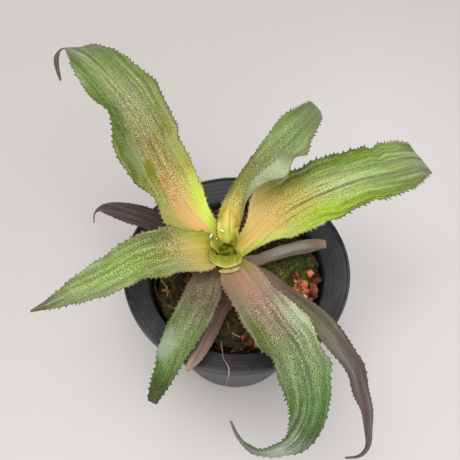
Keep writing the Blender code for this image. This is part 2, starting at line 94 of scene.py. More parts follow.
def cloud(x, y, z=0.0, seed=0.0):
    """Smooth noise from -1 to 1: chances at the corners of unit cells, blended by smoothstep."""
    x, y, z = np.broadcast_arrays(x, y, z)
    i, j, k = np.floor(x), np.floor(y), np.floor(z)
    u, v, w = (smoothstep(c - f) for c, f in ((x, i), (y, j), (z, k)))
    total = 0.0
    for di in (0, 1):
        for dj in (0, 1):
            for dk in (0, 1):
                share = (u if di else 1 - u) * (v if dj else 1 - v) * (w if dk else 1 - w)
                total = total + share * chance(i + di, j + dj, k + dk, seed)
    return 2.0 * total - 1.0


def rough(x, y, z=0.0, size=1.0, seed=0.0, layers=3):
    """Layers of cloud, each half the size and half the height of the one before."""
    total, height = 0.0, 1.0
    for layer in range(layers):
        total = total + height * cloud(x / size, y / size, np.asarray(z) / size, seed + layer)
        size, height = size / 2.0, height / 2.0
    return total


def blend(stations, count, ease=0.0):
    """A smooth curve through the stations, in even steps along its length.

    Cubic pieces join the stations with slopes from their neighbours. ease is the length over which
    the result is then averaged, with the ends held.
    """
    rows = np.asarray(stations, float)
    steps = np.linalg.norm(np.diff(rows[:, :3], axis=0), axis=1)
    at = np.concatenate([[0.0], np.cumsum(steps)])
    slopes = np.diff(rows, axis=0) / steps[:, None]
    lean = np.concatenate([slopes[:1], slopes])
    share = (steps[1:] / (steps[:-1] + steps[1:]))[:, None]
    lean[1:-1] = slopes[:-1] * share + slopes[1:] * (1.0 - share)
    fine = np.linspace(0.0, at[-1], 4000)
    k = np.clip(np.searchsorted(at, fine, side="right") - 1, 0, len(rows) - 2)
    t = ((fine - at[k]) / steps[k])[:, None]
    h = steps[k][:, None]
    curve = (
        (2 * t**3 - 3 * t**2 + 1) * rows[k]
        + (t**3 - 2 * t**2 + t) * h * lean[k]
        + (3 * t**2 - 2 * t**3) * rows[k + 1]
        + (t**3 - t**2) * h * lean[k + 1]
    )
    if ease:
        reach = max(int(ease / at[-1] * 4000), 1)
        window = np.hanning(2 * reach + 3)[1:-1]
        window /= window.sum()
        before = 2 * curve[0] - curve[reach:0:-1]
        after = 2 * curve[-1] - curve[-2 : -reach - 2 : -1]
        longer = np.concatenate([before, curve, after])
        curve = np.stack([np.convolve(column, window, "valid") for column in longer.T], axis=1)
    run = np.concatenate([[0.0], np.cumsum(np.linalg.norm(np.diff(curve[:, :3], axis=0), axis=1))])
    even = np.linspace(0.0, run[-1], count)
    return np.stack([np.interp(even, run, column) for column in curve.T], axis=1), run[-1]


def frames(spine):
    """Along, sideways (to the right) and up directions, carried along the spine without twisting."""
    along = np.gradient(spine, axis=0)
    along /= np.linalg.norm(along, axis=1)[:, None]
    side = np.empty_like(along)
    side[0] = np.cross(along[0], (0.0, 0.0, 1.0))
    for i in range(len(along)):
        carried = side[max(i - 1, 0)]
        carried = carried - along[i] * (carried @ along[i])
        side[i] = carried / np.linalg.norm(carried)
    return along, side, np.cross(side, along)


# ---------------------------------------------------------------- shader nodes

def tint(red, green, blue):
    """A display colour, 0 to 255, as the linear colour a shader takes."""
    c = np.array([red, green, blue]) / 255.0
    linear = np.where(c <= 0.04045, c / 12.92, ((c + 0.055) / 1.055) ** 2.4)
    return (*map(float, linear), 1.0)


class Wire:
    """One output of a node; arithmetic on it adds Math nodes."""

    def __init__(self, paint, socket):
        self.paint = paint
        self.socket = socket

    def out(self, name):
        return Wire(self.paint, self.socket.node.outputs[name])

    def math(self, operation, other=0.0, first=None):
        start = self if first is None else first
        return self.paint.make("ShaderNodeMath", {"operation": operation}, {0: start, 1: other})

    def __add__(self, other):
        return self.math("ADD", other)

    def __radd__(self, other):
        return self.math("ADD", other)

    def __sub__(self, other):
        return self.math("SUBTRACT", other)

    def __rsub__(self, other):
        return self.math("SUBTRACT", self, other)

    def __mul__(self, other):
        return self.math("MULTIPLY", other)

    def __rmul__(self, other):
        return self.math("MULTIPLY", other)

    def step(self, low, high):
        """Smoothly from 0 at low to 1 at high."""
        values = {"Value": self, "From Min": low, "From Max": high}
        return self.paint.make("ShaderNodeMapRange", {"interpolation_type": "SMOOTHSTEP"}, values)


class Paint:
    """One material and the nodes that vary it."""

    def __init__(self, name):
        self.material = bpy.data.materials.new(name)
        self.material.use_nodes = True
        self.tree = self.material.node_tree
        self.shader = self.tree.nodes["Principled BSDF"]

    def make(self, kind, settings=None, sockets=None, out=0):
        """Any node: its type, its settings, and the values or wires of its sockets."""
        node = self.tree.nodes.new(kind)
        for key, value in (settings or {}).items():
            if key == "stops":
                ramp = node.color_ramp
                for place, colour in value[1:-1]:
                    ramp.elements.new(place).color = colour
                for end in (0, -1):
                    ramp.elements[end].position, ramp.elements[end].color = value[end]
            else:
                setattr(node, key, value)
        for key, value in (sockets or {}).items():
            self.feed(node.inputs[key], value)
        return Wire(self, node.outputs[out])

    def feed(self, socket, value):
        if isinstance(value, Wire):
            self.tree.links.new(value.socket, socket)
        else:
            socket.default_value = value

    def mix(self, under, over, share, way="MIX"):
        settings = {"data_type": "RGBA", "blend_type": way, "clamp_factor": True}
        return self.make("ShaderNodeMix", settings, {0: share, 6: under, 7: over}, 2)

    def ramp(self, factor, stops):
        return self.make("ShaderNodeValToRGB", {"stops": stops}, {0: factor})

    def stretch(self, vector, scale):
        return self.make("ShaderNodeVectorMath", {"operation": "MULTIPLY"}, {0: vector, 1: scale})

    def noise(self, vector, scale, detail=3.0, lump=0.5, bend=0.0):
        values = {"Vector": vector, "Scale": scale, "Detail": detail}
        values.update({"Roughness": lump, "Distortion": bend})
        return self.make("ShaderNodeTexNoise", None, values)

    def place(self):
        return self.make("ShaderNodeTexCoord", out="Object")

    def own(self, name):
        """A number stored on the piece's points."""
        return self.make("ShaderNodeAttribute", {"attribute_name": name}, out="Fac")

    def finish(self, colour, roughness, relief=None, depth=0.0002, strength=0.5, **fixed):
        """Feeds the shader: varying colour, roughness and bump, and constants on its own sockets."""
        self.feed(self.shader.inputs["Base Color"], colour)
        self.feed(self.shader.inputs["Roughness"], roughness)
        if relief is not None:
            values = {"Height": relief, "Distance": depth, "Strength": strength}
            self.feed(self.shader.inputs["Normal"], self.make("ShaderNodeBump", None, values))
        for name, value in fixed.items():
            self.shader.inputs[name.replace("_", " ")].default_value = value
        return self.material


# ---------------------------------------------------------------- meshes

def piece(name, points, faces, material, slot, stands_for=(), marks=None, maps=None, sharp=None):
    """A mesh from arrays of points and faces. marks are numbers and maps are UVs, one per point."""
    points = np.asarray(points, float).reshape(-1, 3)
    faces = [np.asarray(f, int).reshape(len(f), -1) for f in faces if len(f)]
    corners = np.concatenate([f.ravel() for f in faces])
    sizes = np.concatenate([np.full(len(f), f.shape[1]) for f in faces])
    mesh = bpy.data.meshes.new(name)
    mesh.vertices.add(len(points))
    mesh.vertices.foreach_set("co", points.astype(np.float32).ravel())
    mesh.loops.add(len(corners))
    mesh.loops.foreach_set("vertex_index", corners.astype(np.int32))
    mesh.polygons.add(len(sizes))
    starts = np.concatenate([[0], np.cumsum(sizes)[:-1]])
    mesh.polygons.foreach_set("loop_start", starts.astype(np.int32))
    mesh.update(calc_edges=True)
    mesh.shade_smooth()
    if sharp:
        mesh.set_sharp_from_angle(angle=np.radians(sharp))
    for key, values in (marks or {}).items():
        mark = mesh.attributes.new(key, "FLOAT", "POINT")
        mark.data.foreach_set("value", np.asarray(values, np.float32).ravel())
    for key, values in (maps or {}).items():
        layer = mesh.uv_layers.new(name=key)
        layer.uv.foreach_set("vector", np.asarray(values, np.float32).reshape(-1, 2)[corners].ravel())
    mesh.materials.append(material)
    made = bpy.data.objects.new(name, mesh)
    bpy.context.scene.collection.objects.link(made)
    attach(made, "root")
    if stands_for:
        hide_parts(*stands_for)
    return made


def strip_faces(index, wrap=False):
    """Quads over a grid of point numbers, rows by columns; wrap joins the last column to the first."""
    if wrap:
        index = np.concatenate([index, index[:, :1]], axis=1)
    return np.stack([index[:-1, :-1], index[:-1, 1:], index[1:, 1:], index[1:, :-1]], -1).reshape(-1, 4)


def turned_piece(name, rings, poles, material, slot, open_cells=(), **extra):
    """Closed rings (ring, step, xyz) from one pole to the other; open_cells stay out."""
    count, steps = rings.shape[:2]
    index = 1 + np.arange(count * steps).reshape(count, steps)
    quads = strip_faces(index, wrap=True).reshape(count - 1, steps, 4)
    keep = np.ones((count - 1, steps), bool)
    for band, step in open_cells:
        keep[band, step] = False
    first, last = index[0], index[-1]
    start = np.stack([np.zeros(steps, int), np.roll(first, -1), first], 1)
    end = np.stack([last, np.roll(last, -1), np.full(steps, 1 + count * steps)], 1)
    points = np.concatenate([[poles[0]], rings.reshape(-1, 3), [poles[1]]])
    walls = extra.pop("walls", np.zeros((0, 4), int))
    return piece(name, points, [quads[keep], start, end, walls], material, slot, **extra)


def repeated(faces, many, size):
    """The same faces for many shapes of size points each, one shape after the other."""
    shift = (np.arange(many) * size)[:, None, None]
    return [(f[None] + shift).reshape(-1, f.shape[1]) for f in faces]


def tubes(paths, radii, sides):
    """Points and faces of many closed tubes at once: paths (tube, step, xyz), radii (tube, step).

    Each ring lies across the path, on a side direction level with the ground and an up direction.
    """
    many, steps = paths.shape[:2]
    along = np.gradient(paths, axis=1)
    along /= np.linalg.norm(along, axis=2, keepdims=True) + 1e-12
    side = np.cross(along, (0.12, 0.07, 1.0))
    side /= np.linalg.norm(side, axis=2, keepdims=True) + 1e-12
    up = np.cross(side, along)
    turn = np.arange(sides) * 2.0 * np.pi / sides
    ring = side[:, :, None] * np.cos(turn)[:, None] + up[:, :, None] * np.sin(turn)[:, None]
    body = paths[:, :, None] + radii[:, :, None, None] * ring
    points = np.concatenate([paths[:, :1], body.reshape(many, -1, 3), paths[:, -1:]], axis=1)
    size = points.shape[1]
    index = 1 + np.arange(steps * sides).reshape(steps, sides)
    quads = strip_faces(index, wrap=True)[:, ::-1]
    first, last = index[0], index[-1]
    start = np.stack([np.zeros(sides, int), first, np.roll(first, -1)], 1)
    end = np.stack([np.roll(last, -1), last, np.full(sides, size - 1)], 1)
    return points.reshape(-1, 3), repeated((quads, start, end), many, size), size


def bits(n, size, axes, knob, seed, spin, layers, around):
    """Shapes and faces of many knobbly balls: rings of a sphere, stretched, made uneven and turned."""
    lat = np.linspace(0.0, np.pi, layers + 2)[1:-1][:, None]
    lon = (np.arange(around) * 2.0 * np.pi / around)[None]
    ball = np.stack([np.sin(lat) * np.cos(lon), np.sin(lat) * np.sin(lon), np.cos(lat) + 0 * lon], -1)
    ball = np.concatenate([[(0, 0, 1)], ball.reshape(-1, 3), [(0, 0, -1)]])
    knobs = 1.0 + knob * (chance(n[:, None], np.arange(len(ball))[None], seed) - 0.5)
    x, y, z = np.moveaxis(ball[None] * axes[:, None] * knobs[..., None] * size[:, None, None], -1, 0)
    turn = 2.0 * np.pi * spin[:, None]
    shape = np.stack([x * np.cos(turn) - y * np.sin(turn), x * np.sin(turn) + y * np.cos(turn), z], -1)
    index = 1 + np.arange(layers * around).reshape(layers, around)
    quads = strip_faces(index, wrap=True)[:, ::-1]
    top = np.stack([np.zeros(around, int), index[0], np.roll(index[0], -1)], 1)
    foot = np.stack([np.roll(index[-1], -1), index[-1], np.full(around, len(ball) - 1)], 1)
    return shape, repeated((quads, top, foot), len(n), len(ball))


# ---------------------------------------------------------------- leaves

# Each leaf: level below the uppermost, heading of its base, tooth size, and its stations from the
# stem outwards: x, y, height above the rim, width left and right of the midrib, curl of each half
# in degrees. Lengths in millimetres.
LEAVES = {
    "leaf_back_left": (1, 133, 1.0, [
        (-14, 8, 13, 7, 7, 10, 40),
        (-23, 14, 21, 12, 11.5, -5, 32),
        (-32, 23, 33, 15, 14.5, 8, 22),
        (-41, 35, 46, 18, 15.5, 14, 14),
        (-50, 49, 56, 17, 16.5, 12, 12),
        (-64, 67, 62, 12.5, 17, 12, 12),
        (-76, 81, 63, 9.5, 15.5, 12, 12),
        (-85, 91, 60, 5, 9.5, 10, 10),
        (-93, 100, 55, 1.8, 1.8, 0, 0),
        (-99, 104, 47, 1.8, 1.8, 0, 0),
        (-101, 105, 39, 1.4, 1.4, 0, 0),
        (-101, 104, 31, 0.6, 0.6, 0, 0),
    ]),
    "leaf_back": (0, 85, 0.9, [
        (-4, 8, 19, 6.5, 6, 55, 55),
        (-3, 13, 29, 5, 8.5, 50, 70),
        (2, 20, 38, 3.5, 12, 40, 140),
        (10, 28, 46, 3.5, 14, 30, 168),
        (17, 33, 50, 4.5, 13, 22, 165),
        (21, 36, 51, 5, 12, 18, 60),
        (28, 44, 52, 6, 10, 10, 12),
        (36, 58, 48, 5, 7.5, 5, 5),
        (41, 70, 42, 3.5, 4, 0, 0),
    ]),
    "leaf_back_right": (1, 28, 1.2, [
        (8, 7, 13, 7, 8, 40, 40),
        (19, 13, 22, 15, 15, 32, 30),
        (30, 16, 30, 16, 16.5, 22, 20),
        (43, 20, 35, 15.5, 15.5, 14, 14),
        (58, 26, 36, 16, 15.5, 10, 10),
        (76, 34, 32, 15.5, 13, 8, 8),
        (90, 43, 26, 14, 10.5, 5, 5),
        (101, 50, 18, 10.5, 7.5, 0, 0),
        (107, 54, 10, 6, 5, 0, 0),
    ]),
    "leaf_left": (0, 186, 0.9, [
        (-14, -1, 14.5, 9.5, 8, 40, 50),
        (-22, -4, 18.5, 11.5, 9.5, 30, 45),
        (-32, -6, 20.5, 13, 11, 20, 30),
        (-40, -9, 22, 12, 11, 12, 12),
        (-48, -13, 22, 10.5, 10.5, 12, 12),
        (-56, -17, 20, 9.5, 9.5, 12, 12),
        (-64, -20, 17, 8, 8.5, 12, 12),
        (-75, -23, 13, 6, 6, 12, 12),
        (-85, -26, 9, 3.8, 3, 10, 10),
        (-92, -28, 6, 1.5, 1.5, 0, 0),
        (-97, -29, 4, 0.6, 0.6, 0, 0),
    ]),
    "leaf_front_left": (1, 238, 0.8, [
        (-12, -9, 8, 5.5, 5.5, 20, 20),
        (-16, -21, 10, 8.5, 8, 4, 4),
        (-20, -33, 11, 8.8, 8.2, -8, -8),
        (-24, -42, 10, 7.8, 8.2, -8, -8),
        (-28, -50, 7.5, 6.5, 6.8, -8, -8),
        (-31, -57, 4, 5, 5.5, -8, -8),
        (-35, -63, -2, 3.6, 3.8, -4, -4),
        (-38, -68, -7, 2.2, 2.2, 0, 0),
    ]),
    "leaf_front_narrow": (3, 268, 0.4, [
        (-4, -14, -1, 4, 4, -20, -20),
        (-8, -26, 0, 4, 4, -40, -40),
        (-13, -38, 2, 3.8, 3.8, -45, -45),
        (-17, -48, 4, 3.5, 3.5, -45, -45),
        (-20, -54, 5, 2.6, 2.6, -30, -30),
        (-22, -58, 5, 0.7, 0.7, 0, 0),
    ]),
    "leaf_front_right": (0, 298, 1.0, [
        (1, -12, 11, 9, 10, 20, 20),
        (6, -23, 14, 12.5, 11, 10, 10),
        (12, -34, 17, 14.5, 12.5, 4, 4),
        (18, -45, 18.5, 15.5, 12, 0, 0),
        (24, -54, 18, 12, 10, -5, -5),
        (27, -62, 15.5, 12, 10.8, -8, -8),
        (29, -69, 10.5, 11.5, 10.5, -8, -8),
        (29, -75, 4.5, 10.5, 8.5, -8, -8),
        (27, -80, -2, 10, 6, 0, 0),
        (22, -85, -8, 7.5, 4.2, 0, 0),
        (15, -87, -12.5, 4.5, 3.5, 0, 0),
        (8, -87, -15, 3.5, 3, 0, 0),
        (2, -83, -15, 3, 2.2, 0, 0),
        (-1, -79, -13, 1.8, 1.5, 0, 0),
        (-3, -75, -11, 0.6, 0.6, 0, 0),
    ]),
    "leaf_right_drooping": (2, 333, 0.5, [
        (13, -9, 2, 4, 5.5, 0, 0),
        (22, -18, 4, 4, 6, 0, 0),
        (29, -26, 7, 4.5, 6, 0, 0),
        (35, -34, 9, 5.2, 5.2, 0, 0),
        (41, -43, 10, 6, 5, 0, 0),
        (46, -51, 9, 5.5, 4.2, 0, 0),
        (51, -58, 6, 5, 4, 0, 0),
        (53, -65, 2, 3.8, 4.2, 0, 0),
        (56, -72, -3, 2.8, 2.8, 0, 0),
        (57, -79, -10, 2, 1.9, 0, 0),
        (57, -85, -16, 1.5, 1.3, 0, 0),
        (54, -88, -19, 1.2, 1, 0, 0),
        (48, -88, -22, 0.6, 0.6, 0, 0),
    ]),
    "leaf_right_short": (3, 12, 0.4, [
        (13, 3, -1, 3.5, 3.5, -25, -25),
        (23, 6, 1.5, 3.8, 3.8, -30, -30),
        (34, 8, 3.5, 3.8, 3.8, -30, -30),
        (42, 9, 4, 3.4, 3.4, -20, -20),
        (46, 9, 3.6, 2.4, 2.4, 0, 0),
    ]),
    "leaf_left_old": (2, 157, 0.5, [
        (-22, 9, 3, 4.5, 4.5, -5, -5),
        (-37, 18, 6.5, 6, 6, -15, -15),
        (-46, 22, 9, 6.2, 6.2, -20, -20),
        (-55, 24, 10.5, 6, 6, -20, -20),
        (-65, 28, 9.5, 4.8, 4.8, -20, -20),
        (-72, 31, 6, 2.6, 2.6, 0, 0),
        (-77, 31, 1, 1.3, 1.3, 0, 0),
        (-78, 29, -5, 0.5, 0.5, 0, 0),
    ]),
}

# Lobes and notches of single margins: side (0 left, 1 right), place along the leaf as a share of its
# length, share over which it fades, and how far it stands out in millimetres, negative for a notch.
LOBES = {
    "leaf_back_left": [
        (0, 0.22, 0.05, -4), (0, 0.46, 0.05, -5), (0, 0.75, 0.1, -2.5), (1, 0.5, 0.15, 3),
    ],
    "leaf_back": [(1, 0.5, 0.08, 12), (0, 0.65, 0.12, 2)],
    "leaf_back_right": [(0, 0.2, 0.05, 3), (0, 0.95, 0.12, 5), (1, 0.33, 0.06, 2), (1, 1, 0.15, -3.5)],
    "leaf_left": [(0, 0.1, 0.08, 3)],
    "leaf_front_right": [(0, 0.2, 0.12, -3)],
}

# How far the left corner of a blunt tip runs on past the midrib, in millimetres.
RUN_ON = {"leaf_back_right": 14.0}

# How much of a leaf's right half is creased and laid back over itself near the middle.
FOLDS = {"leaf_back": 1.0}

# Short leaves closing the heart: heading, then reach from the crown, height above the rim, half
# width and curl.
HEART_LEAVES = {
    "heart_leaf_front": (268, [(6.0, 12.5, 8.5, 85), (9.2, 14.5, 10.6, 76), (11.6, 15.0, 9.0, 62)]),
    "heart_leaf_back": (84, [
        (6.2, 15, 5.6, 52), (7.9, 21, 5.6, 46), (9.7, 26.5, 4.0, 38), (10.9, 30.5, 0.9, 30)
    ]),
    "heart_leaf_left": (195, [(5.0, 14, 3.6, 55), (6.4, 17.5, 3.4, 50), (7.4, 20, 2.4, 40)]),
}

# Colours along each leaf, base to tip: midrib, then left and right flank.
COLOURS = {
    "leaf_back_left": (
        [(0, (175, 165, 40)), (0.08, (230, 180, 100)), (0.2, (205, 160, 90)), (0.34, (165, 150, 95)),
         (0.48, (172, 176, 130)), (0.66, (130, 152, 90)), (0.78, (130, 128, 112)), (0.84, (128, 112, 108)),
         (1, (104, 92, 90))],
        [(0, (160, 165, 30)), (0.12, (165, 155, 55)), (0.3, (125, 140, 60)), (0.5, (95, 125, 50)),
         (0.7, (110, 135, 75)), (0.8, (130, 120, 112)), (0.86, (118, 104, 100))],
        [(0, (190, 210, 40)), (0.16, (200, 222, 45)), (0.26, (170, 165, 70)), (0.42, (135, 145, 80)),
         (0.65, (125, 150, 80)), (0.8, (125, 120, 108)), (0.86, (112, 100, 96))],
    ),
    "leaf_back": (
        [(0, (205, 212, 60)), (0.08, (252, 226, 104)), (0.2, (226, 200, 96)), (0.34, (160, 162, 95)),
         (0.6, (140, 160, 100)), (0.85, (125, 142, 95)), (1, (110, 120, 85))],
        [(0, (200, 205, 50)), (0.1, (225, 200, 66)), (0.26, (140, 138, 78)), (0.5, (140, 158, 100)),
         (0.8, (110, 130, 75))],
        [(0, (200, 200, 55)), (0.1, (225, 198, 70)), (0.26, (160, 155, 85)), (0.5, (165, 178, 130)),
         (0.8, (125, 140, 95))],
    ),
    "leaf_back_right": (
        [(0, (200, 196, 60)), (0.08, (236, 192, 108)), (0.2, (214, 176, 88)), (0.32, (190, 180, 100)),
         (0.45, (180, 195, 135)), (0.65, (158, 178, 112)), (0.85, (140, 155, 110)), (1, (135, 135, 115))],
        [(0, (200, 190, 70)), (0.12, (235, 200, 112)), (0.24, (150, 145, 60)), (0.36, (95, 115, 25)),
         (0.55, (110, 140, 50)), (0.75, (125, 148, 80)), (1, (115, 120, 85))],
        [(0, (190, 195, 60)), (0.12, (205, 208, 100)), (0.22, (190, 198, 96)), (0.36, (165, 192, 74)),
         (0.6, (130, 158, 75)), (0.85, (120, 130, 95)), (1, (120, 118, 100))],
    ),
    "leaf_left": (
        [(0, (156, 162, 24)), (0.1, (190, 168, 66)), (0.2, (172, 148, 74)), (0.32, (128, 136, 54)),
         (0.5, (152, 182, 98)), (0.75, (160, 175, 118)), (0.9, (100, 112, 80)), (1, (90, 75, 60))],
        [(0, (165, 160, 40)), (0.12, (180, 158, 88)), (0.25, (136, 138, 82)), (0.4, (124, 140, 76)),
         (0.6, (148, 162, 115)), (0.85, (130, 142, 100)), (1, (95, 85, 65))],
        [(0, (140, 148, 18)), (0.14, (166, 160, 36)), (0.28, (104, 108, 44)), (0.45, (132, 154, 84)),
         (0.7, (150, 165, 112)), (0.9, (105, 110, 80))],
    ),
    "leaf_front_left": (
        [(0, (150, 130, 70)), (0.1, (105, 75, 55)), (0.25, (118, 98, 76)), (0.4, (125, 122, 84)),
         (0.55, (134, 154, 96)), (0.75, (106, 142, 66)), (0.88, (58, 88, 12)), (1, (80, 60, 40))],
        [(0, (150, 130, 75)), (0.12, (115, 85, 62)), (0.32, (115, 98, 74)), (0.48, (105, 118, 62)),
         (0.7, (104, 134, 62)), (0.88, (56, 80, 10)), (1, (90, 56, 46))],
        [(0, (150, 130, 60)), (0.12, (100, 80, 58)), (0.32, (112, 102, 78)), (0.5, (105, 120, 68)),
         (0.75, (80, 118, 40)), (0.9, (52, 72, 10))],
    ),
    "leaf_front_narrow": (
        [(0, (120, 95, 70)), (0.3, (94, 74, 66)), (0.6, (112, 92, 84)), (0.85, (128, 108, 100)),
         (1, (170, 146, 130))],
        [(0, (110, 88, 65)), (0.4, (98, 78, 70)), (0.8, (132, 112, 104)), (1, (150, 130, 120))],
        [(0, (110, 88, 65)), (0.4, (92, 74, 66)), (0.8, (120, 104, 96)), (1, (150, 130, 115))],
    ),
    "leaf_front_right": (
        [(0, (150, 124, 60)), (0.08, (166, 124, 94)), (0.2, (158, 120, 98)), (0.32, (155, 140, 115)),
         (0.42, (130, 147, 98)), (0.58, (98, 134, 78)), (0.71, (84, 112, 62)), (0.79, (212, 214, 206)),
         (0.88, (156, 158, 152)), (1, (118, 120, 114))],
        [(0, (140, 126, 50)), (0.1, (150, 118, 90)), (0.22, (140, 122, 100)), (0.33, (206, 218, 178)),
         (0.46, (138, 158, 105)), (0.6, (100, 142, 74)), (0.7, (68, 100, 44)), (0.8, (182, 188, 178)),
         (0.88, (128, 134, 124))],
        [(0, (150, 128, 75)), (0.1, (136, 108, 84)), (0.22, (124, 112, 88)), (0.3, (92, 100, 28)),
         (0.46, (115, 132, 88)), (0.6, (80, 120, 54)), (0.75, (100, 124, 84))],
    ),
    "leaf_right_drooping": (
        [(0, (130, 100, 76)), (0.14, (120, 98, 80)), (0.24, (118, 96, 78)), (0.34, (120, 118, 84)),
         (0.46, (126, 122, 98)), (0.56, (112, 98, 88)), (0.66, (98, 84, 80)), (1, (116, 104, 100))],
        [(0, (120, 92, 70)), (0.22, (96, 78, 64)), (0.34, (112, 108, 80)), (0.46, (120, 116, 98)),
         (0.6, (100, 86, 82)), (1, (116, 104, 100))],
        [(0, (130, 100, 76)), (0.24, (118, 92, 74)), (0.34, (134, 130, 100)), (0.48, (130, 124, 102)),
         (0.6, (98, 84, 80)), (1, (116, 104, 100))],
    ),
    "leaf_right_short": (
        [(0, (150, 112, 72)), (0.3, (140, 128, 112)), (0.5, (196, 194, 182)), (0.75, (180, 178, 166)),
         (0.9, (150, 132, 124)), (1, (196, 158, 150))],
        [(0, (140, 106, 66)), (0.5, (166, 160, 144)), (0.8, (140, 138, 126)), (1, (180, 146, 138))],
        [(0, (120, 96, 66)), (0.5, (122, 116, 102)), (0.8, (104, 100, 90)), (1, (160, 130, 124))],
    ),
    "leaf_left_old": (
        [(0, (110, 90, 50)), (0.35, (82, 70, 60)), (0.6, (95, 76, 72)), (0.85, (92, 76, 74)),
         (1, (125, 110, 105))],
        [(0, (100, 85, 45)), (0.4, (74, 62, 55)), (0.65, (80, 62, 58)), (0.9, (100, 86, 82))],
        [(0, (115, 100, 50)), (0.4, (66, 58, 50)), (0.65, (105, 90, 85)), (0.9, (118, 104, 100))],
    ),
}
HEART_COLOURS = {
    "heart_leaf_front": (
        [(0, (110, 116, 10)), (0.5, (150, 158, 26)), (0.85, (176, 178, 60)), (1, (206, 198, 132))],
        [(0, (110, 116, 10)), (0.5, (150, 160, 24)), (0.9, (168, 172, 56)), (1, (200, 192, 124))],
        [(0, (110, 116, 10)), (0.5, (150, 160, 24)), (0.9, (168, 172, 56)), (1, (200, 192, 124))],
    ),
    "heart_leaf_back": (
        [(0, (150, 154, 20)), (0.3, (216, 218, 80)), (0.55, (255, 238, 124)), (1, (252, 222, 118))],
        [(0, (140, 144, 10)), (0.35, (222, 212, 76)), (1, (244, 212, 100))],
        [(0, (96, 92, 10)), (0.4, (200, 184, 64)), (1, (232, 198, 92))],
    ),
    "heart_leaf_left": (
        [(0, (110, 116, 10)), (0.5, (170, 182, 36)), (1, (206, 204, 84))],
        [(0, (110, 116, 10)), (0.5, (160, 176, 30)), (1, (200, 198, 80))],
        [(0, (110, 116, 10)), (0.5, (160, 176, 30)), (1, (200, 198, 80))],
    ),
}

# How much pale scurf each leaf carries, how strong its long stripes are, its underside, and how
# far its green part is darkened.
SCURF = {
    "leaf_back_left": (0.8, 0.9, (165, 178, 130), 0.26),
    "leaf_back": (0.7, 0.5, (150, 162, 120), 0.2),
    "leaf_back_right": (0.6, 1.0, (165, 178, 130), 0.15),
    "leaf_left": (0.8, 0.7, (165, 180, 135), 0.2),
    "leaf_front_left": (0.8, 0.5, (150, 160, 120), 0.37),
    "leaf_front_narrow": (0.2, 0.6, (130, 112, 102), 0.0),
    "leaf_front_right": (0.78, 0.8, (150, 155, 125), 0.25),
    "leaf_right_drooping": (0.35, 0.8, (135, 125, 115), 0.42),
    "leaf_right_short": (0.3, 1.0, (120, 110, 98), 0.0),
    "leaf_left_old": (0.25, 0.9, (115, 100, 95), 0.5),
}


# Blotches and one painted highlight: place in millimetres along and across, size, strength and colour.
BLOTCHES_AND_HIGHLIGHTS = {
    "leaf_back_left": (
        ((59.0, 31.0), 6.0, 0.32, (170, 184, 140)), ((50.0, 34.5), 4.2, 0.85, (118, 126, 8)),
        ((56.0, 51.0), 6.0, 0.45, (180, 184, 128)),
    ),
    # Painted highlight: the pale patch on leaf_front_left stands for a gloss on the blade.
    "leaf_front_left": (((49.0, 55.5), 5.5, 0.45, (204, 212, 196)),),
    "leaf_right_drooping": (((70.0, 36.0), 2.5, 0.7, (196, 140, 96)),),
}
OLD_LEAVES = ("leaf_front_narrow", "leaf_right_drooping", "leaf_right_short", "leaf_left_old")


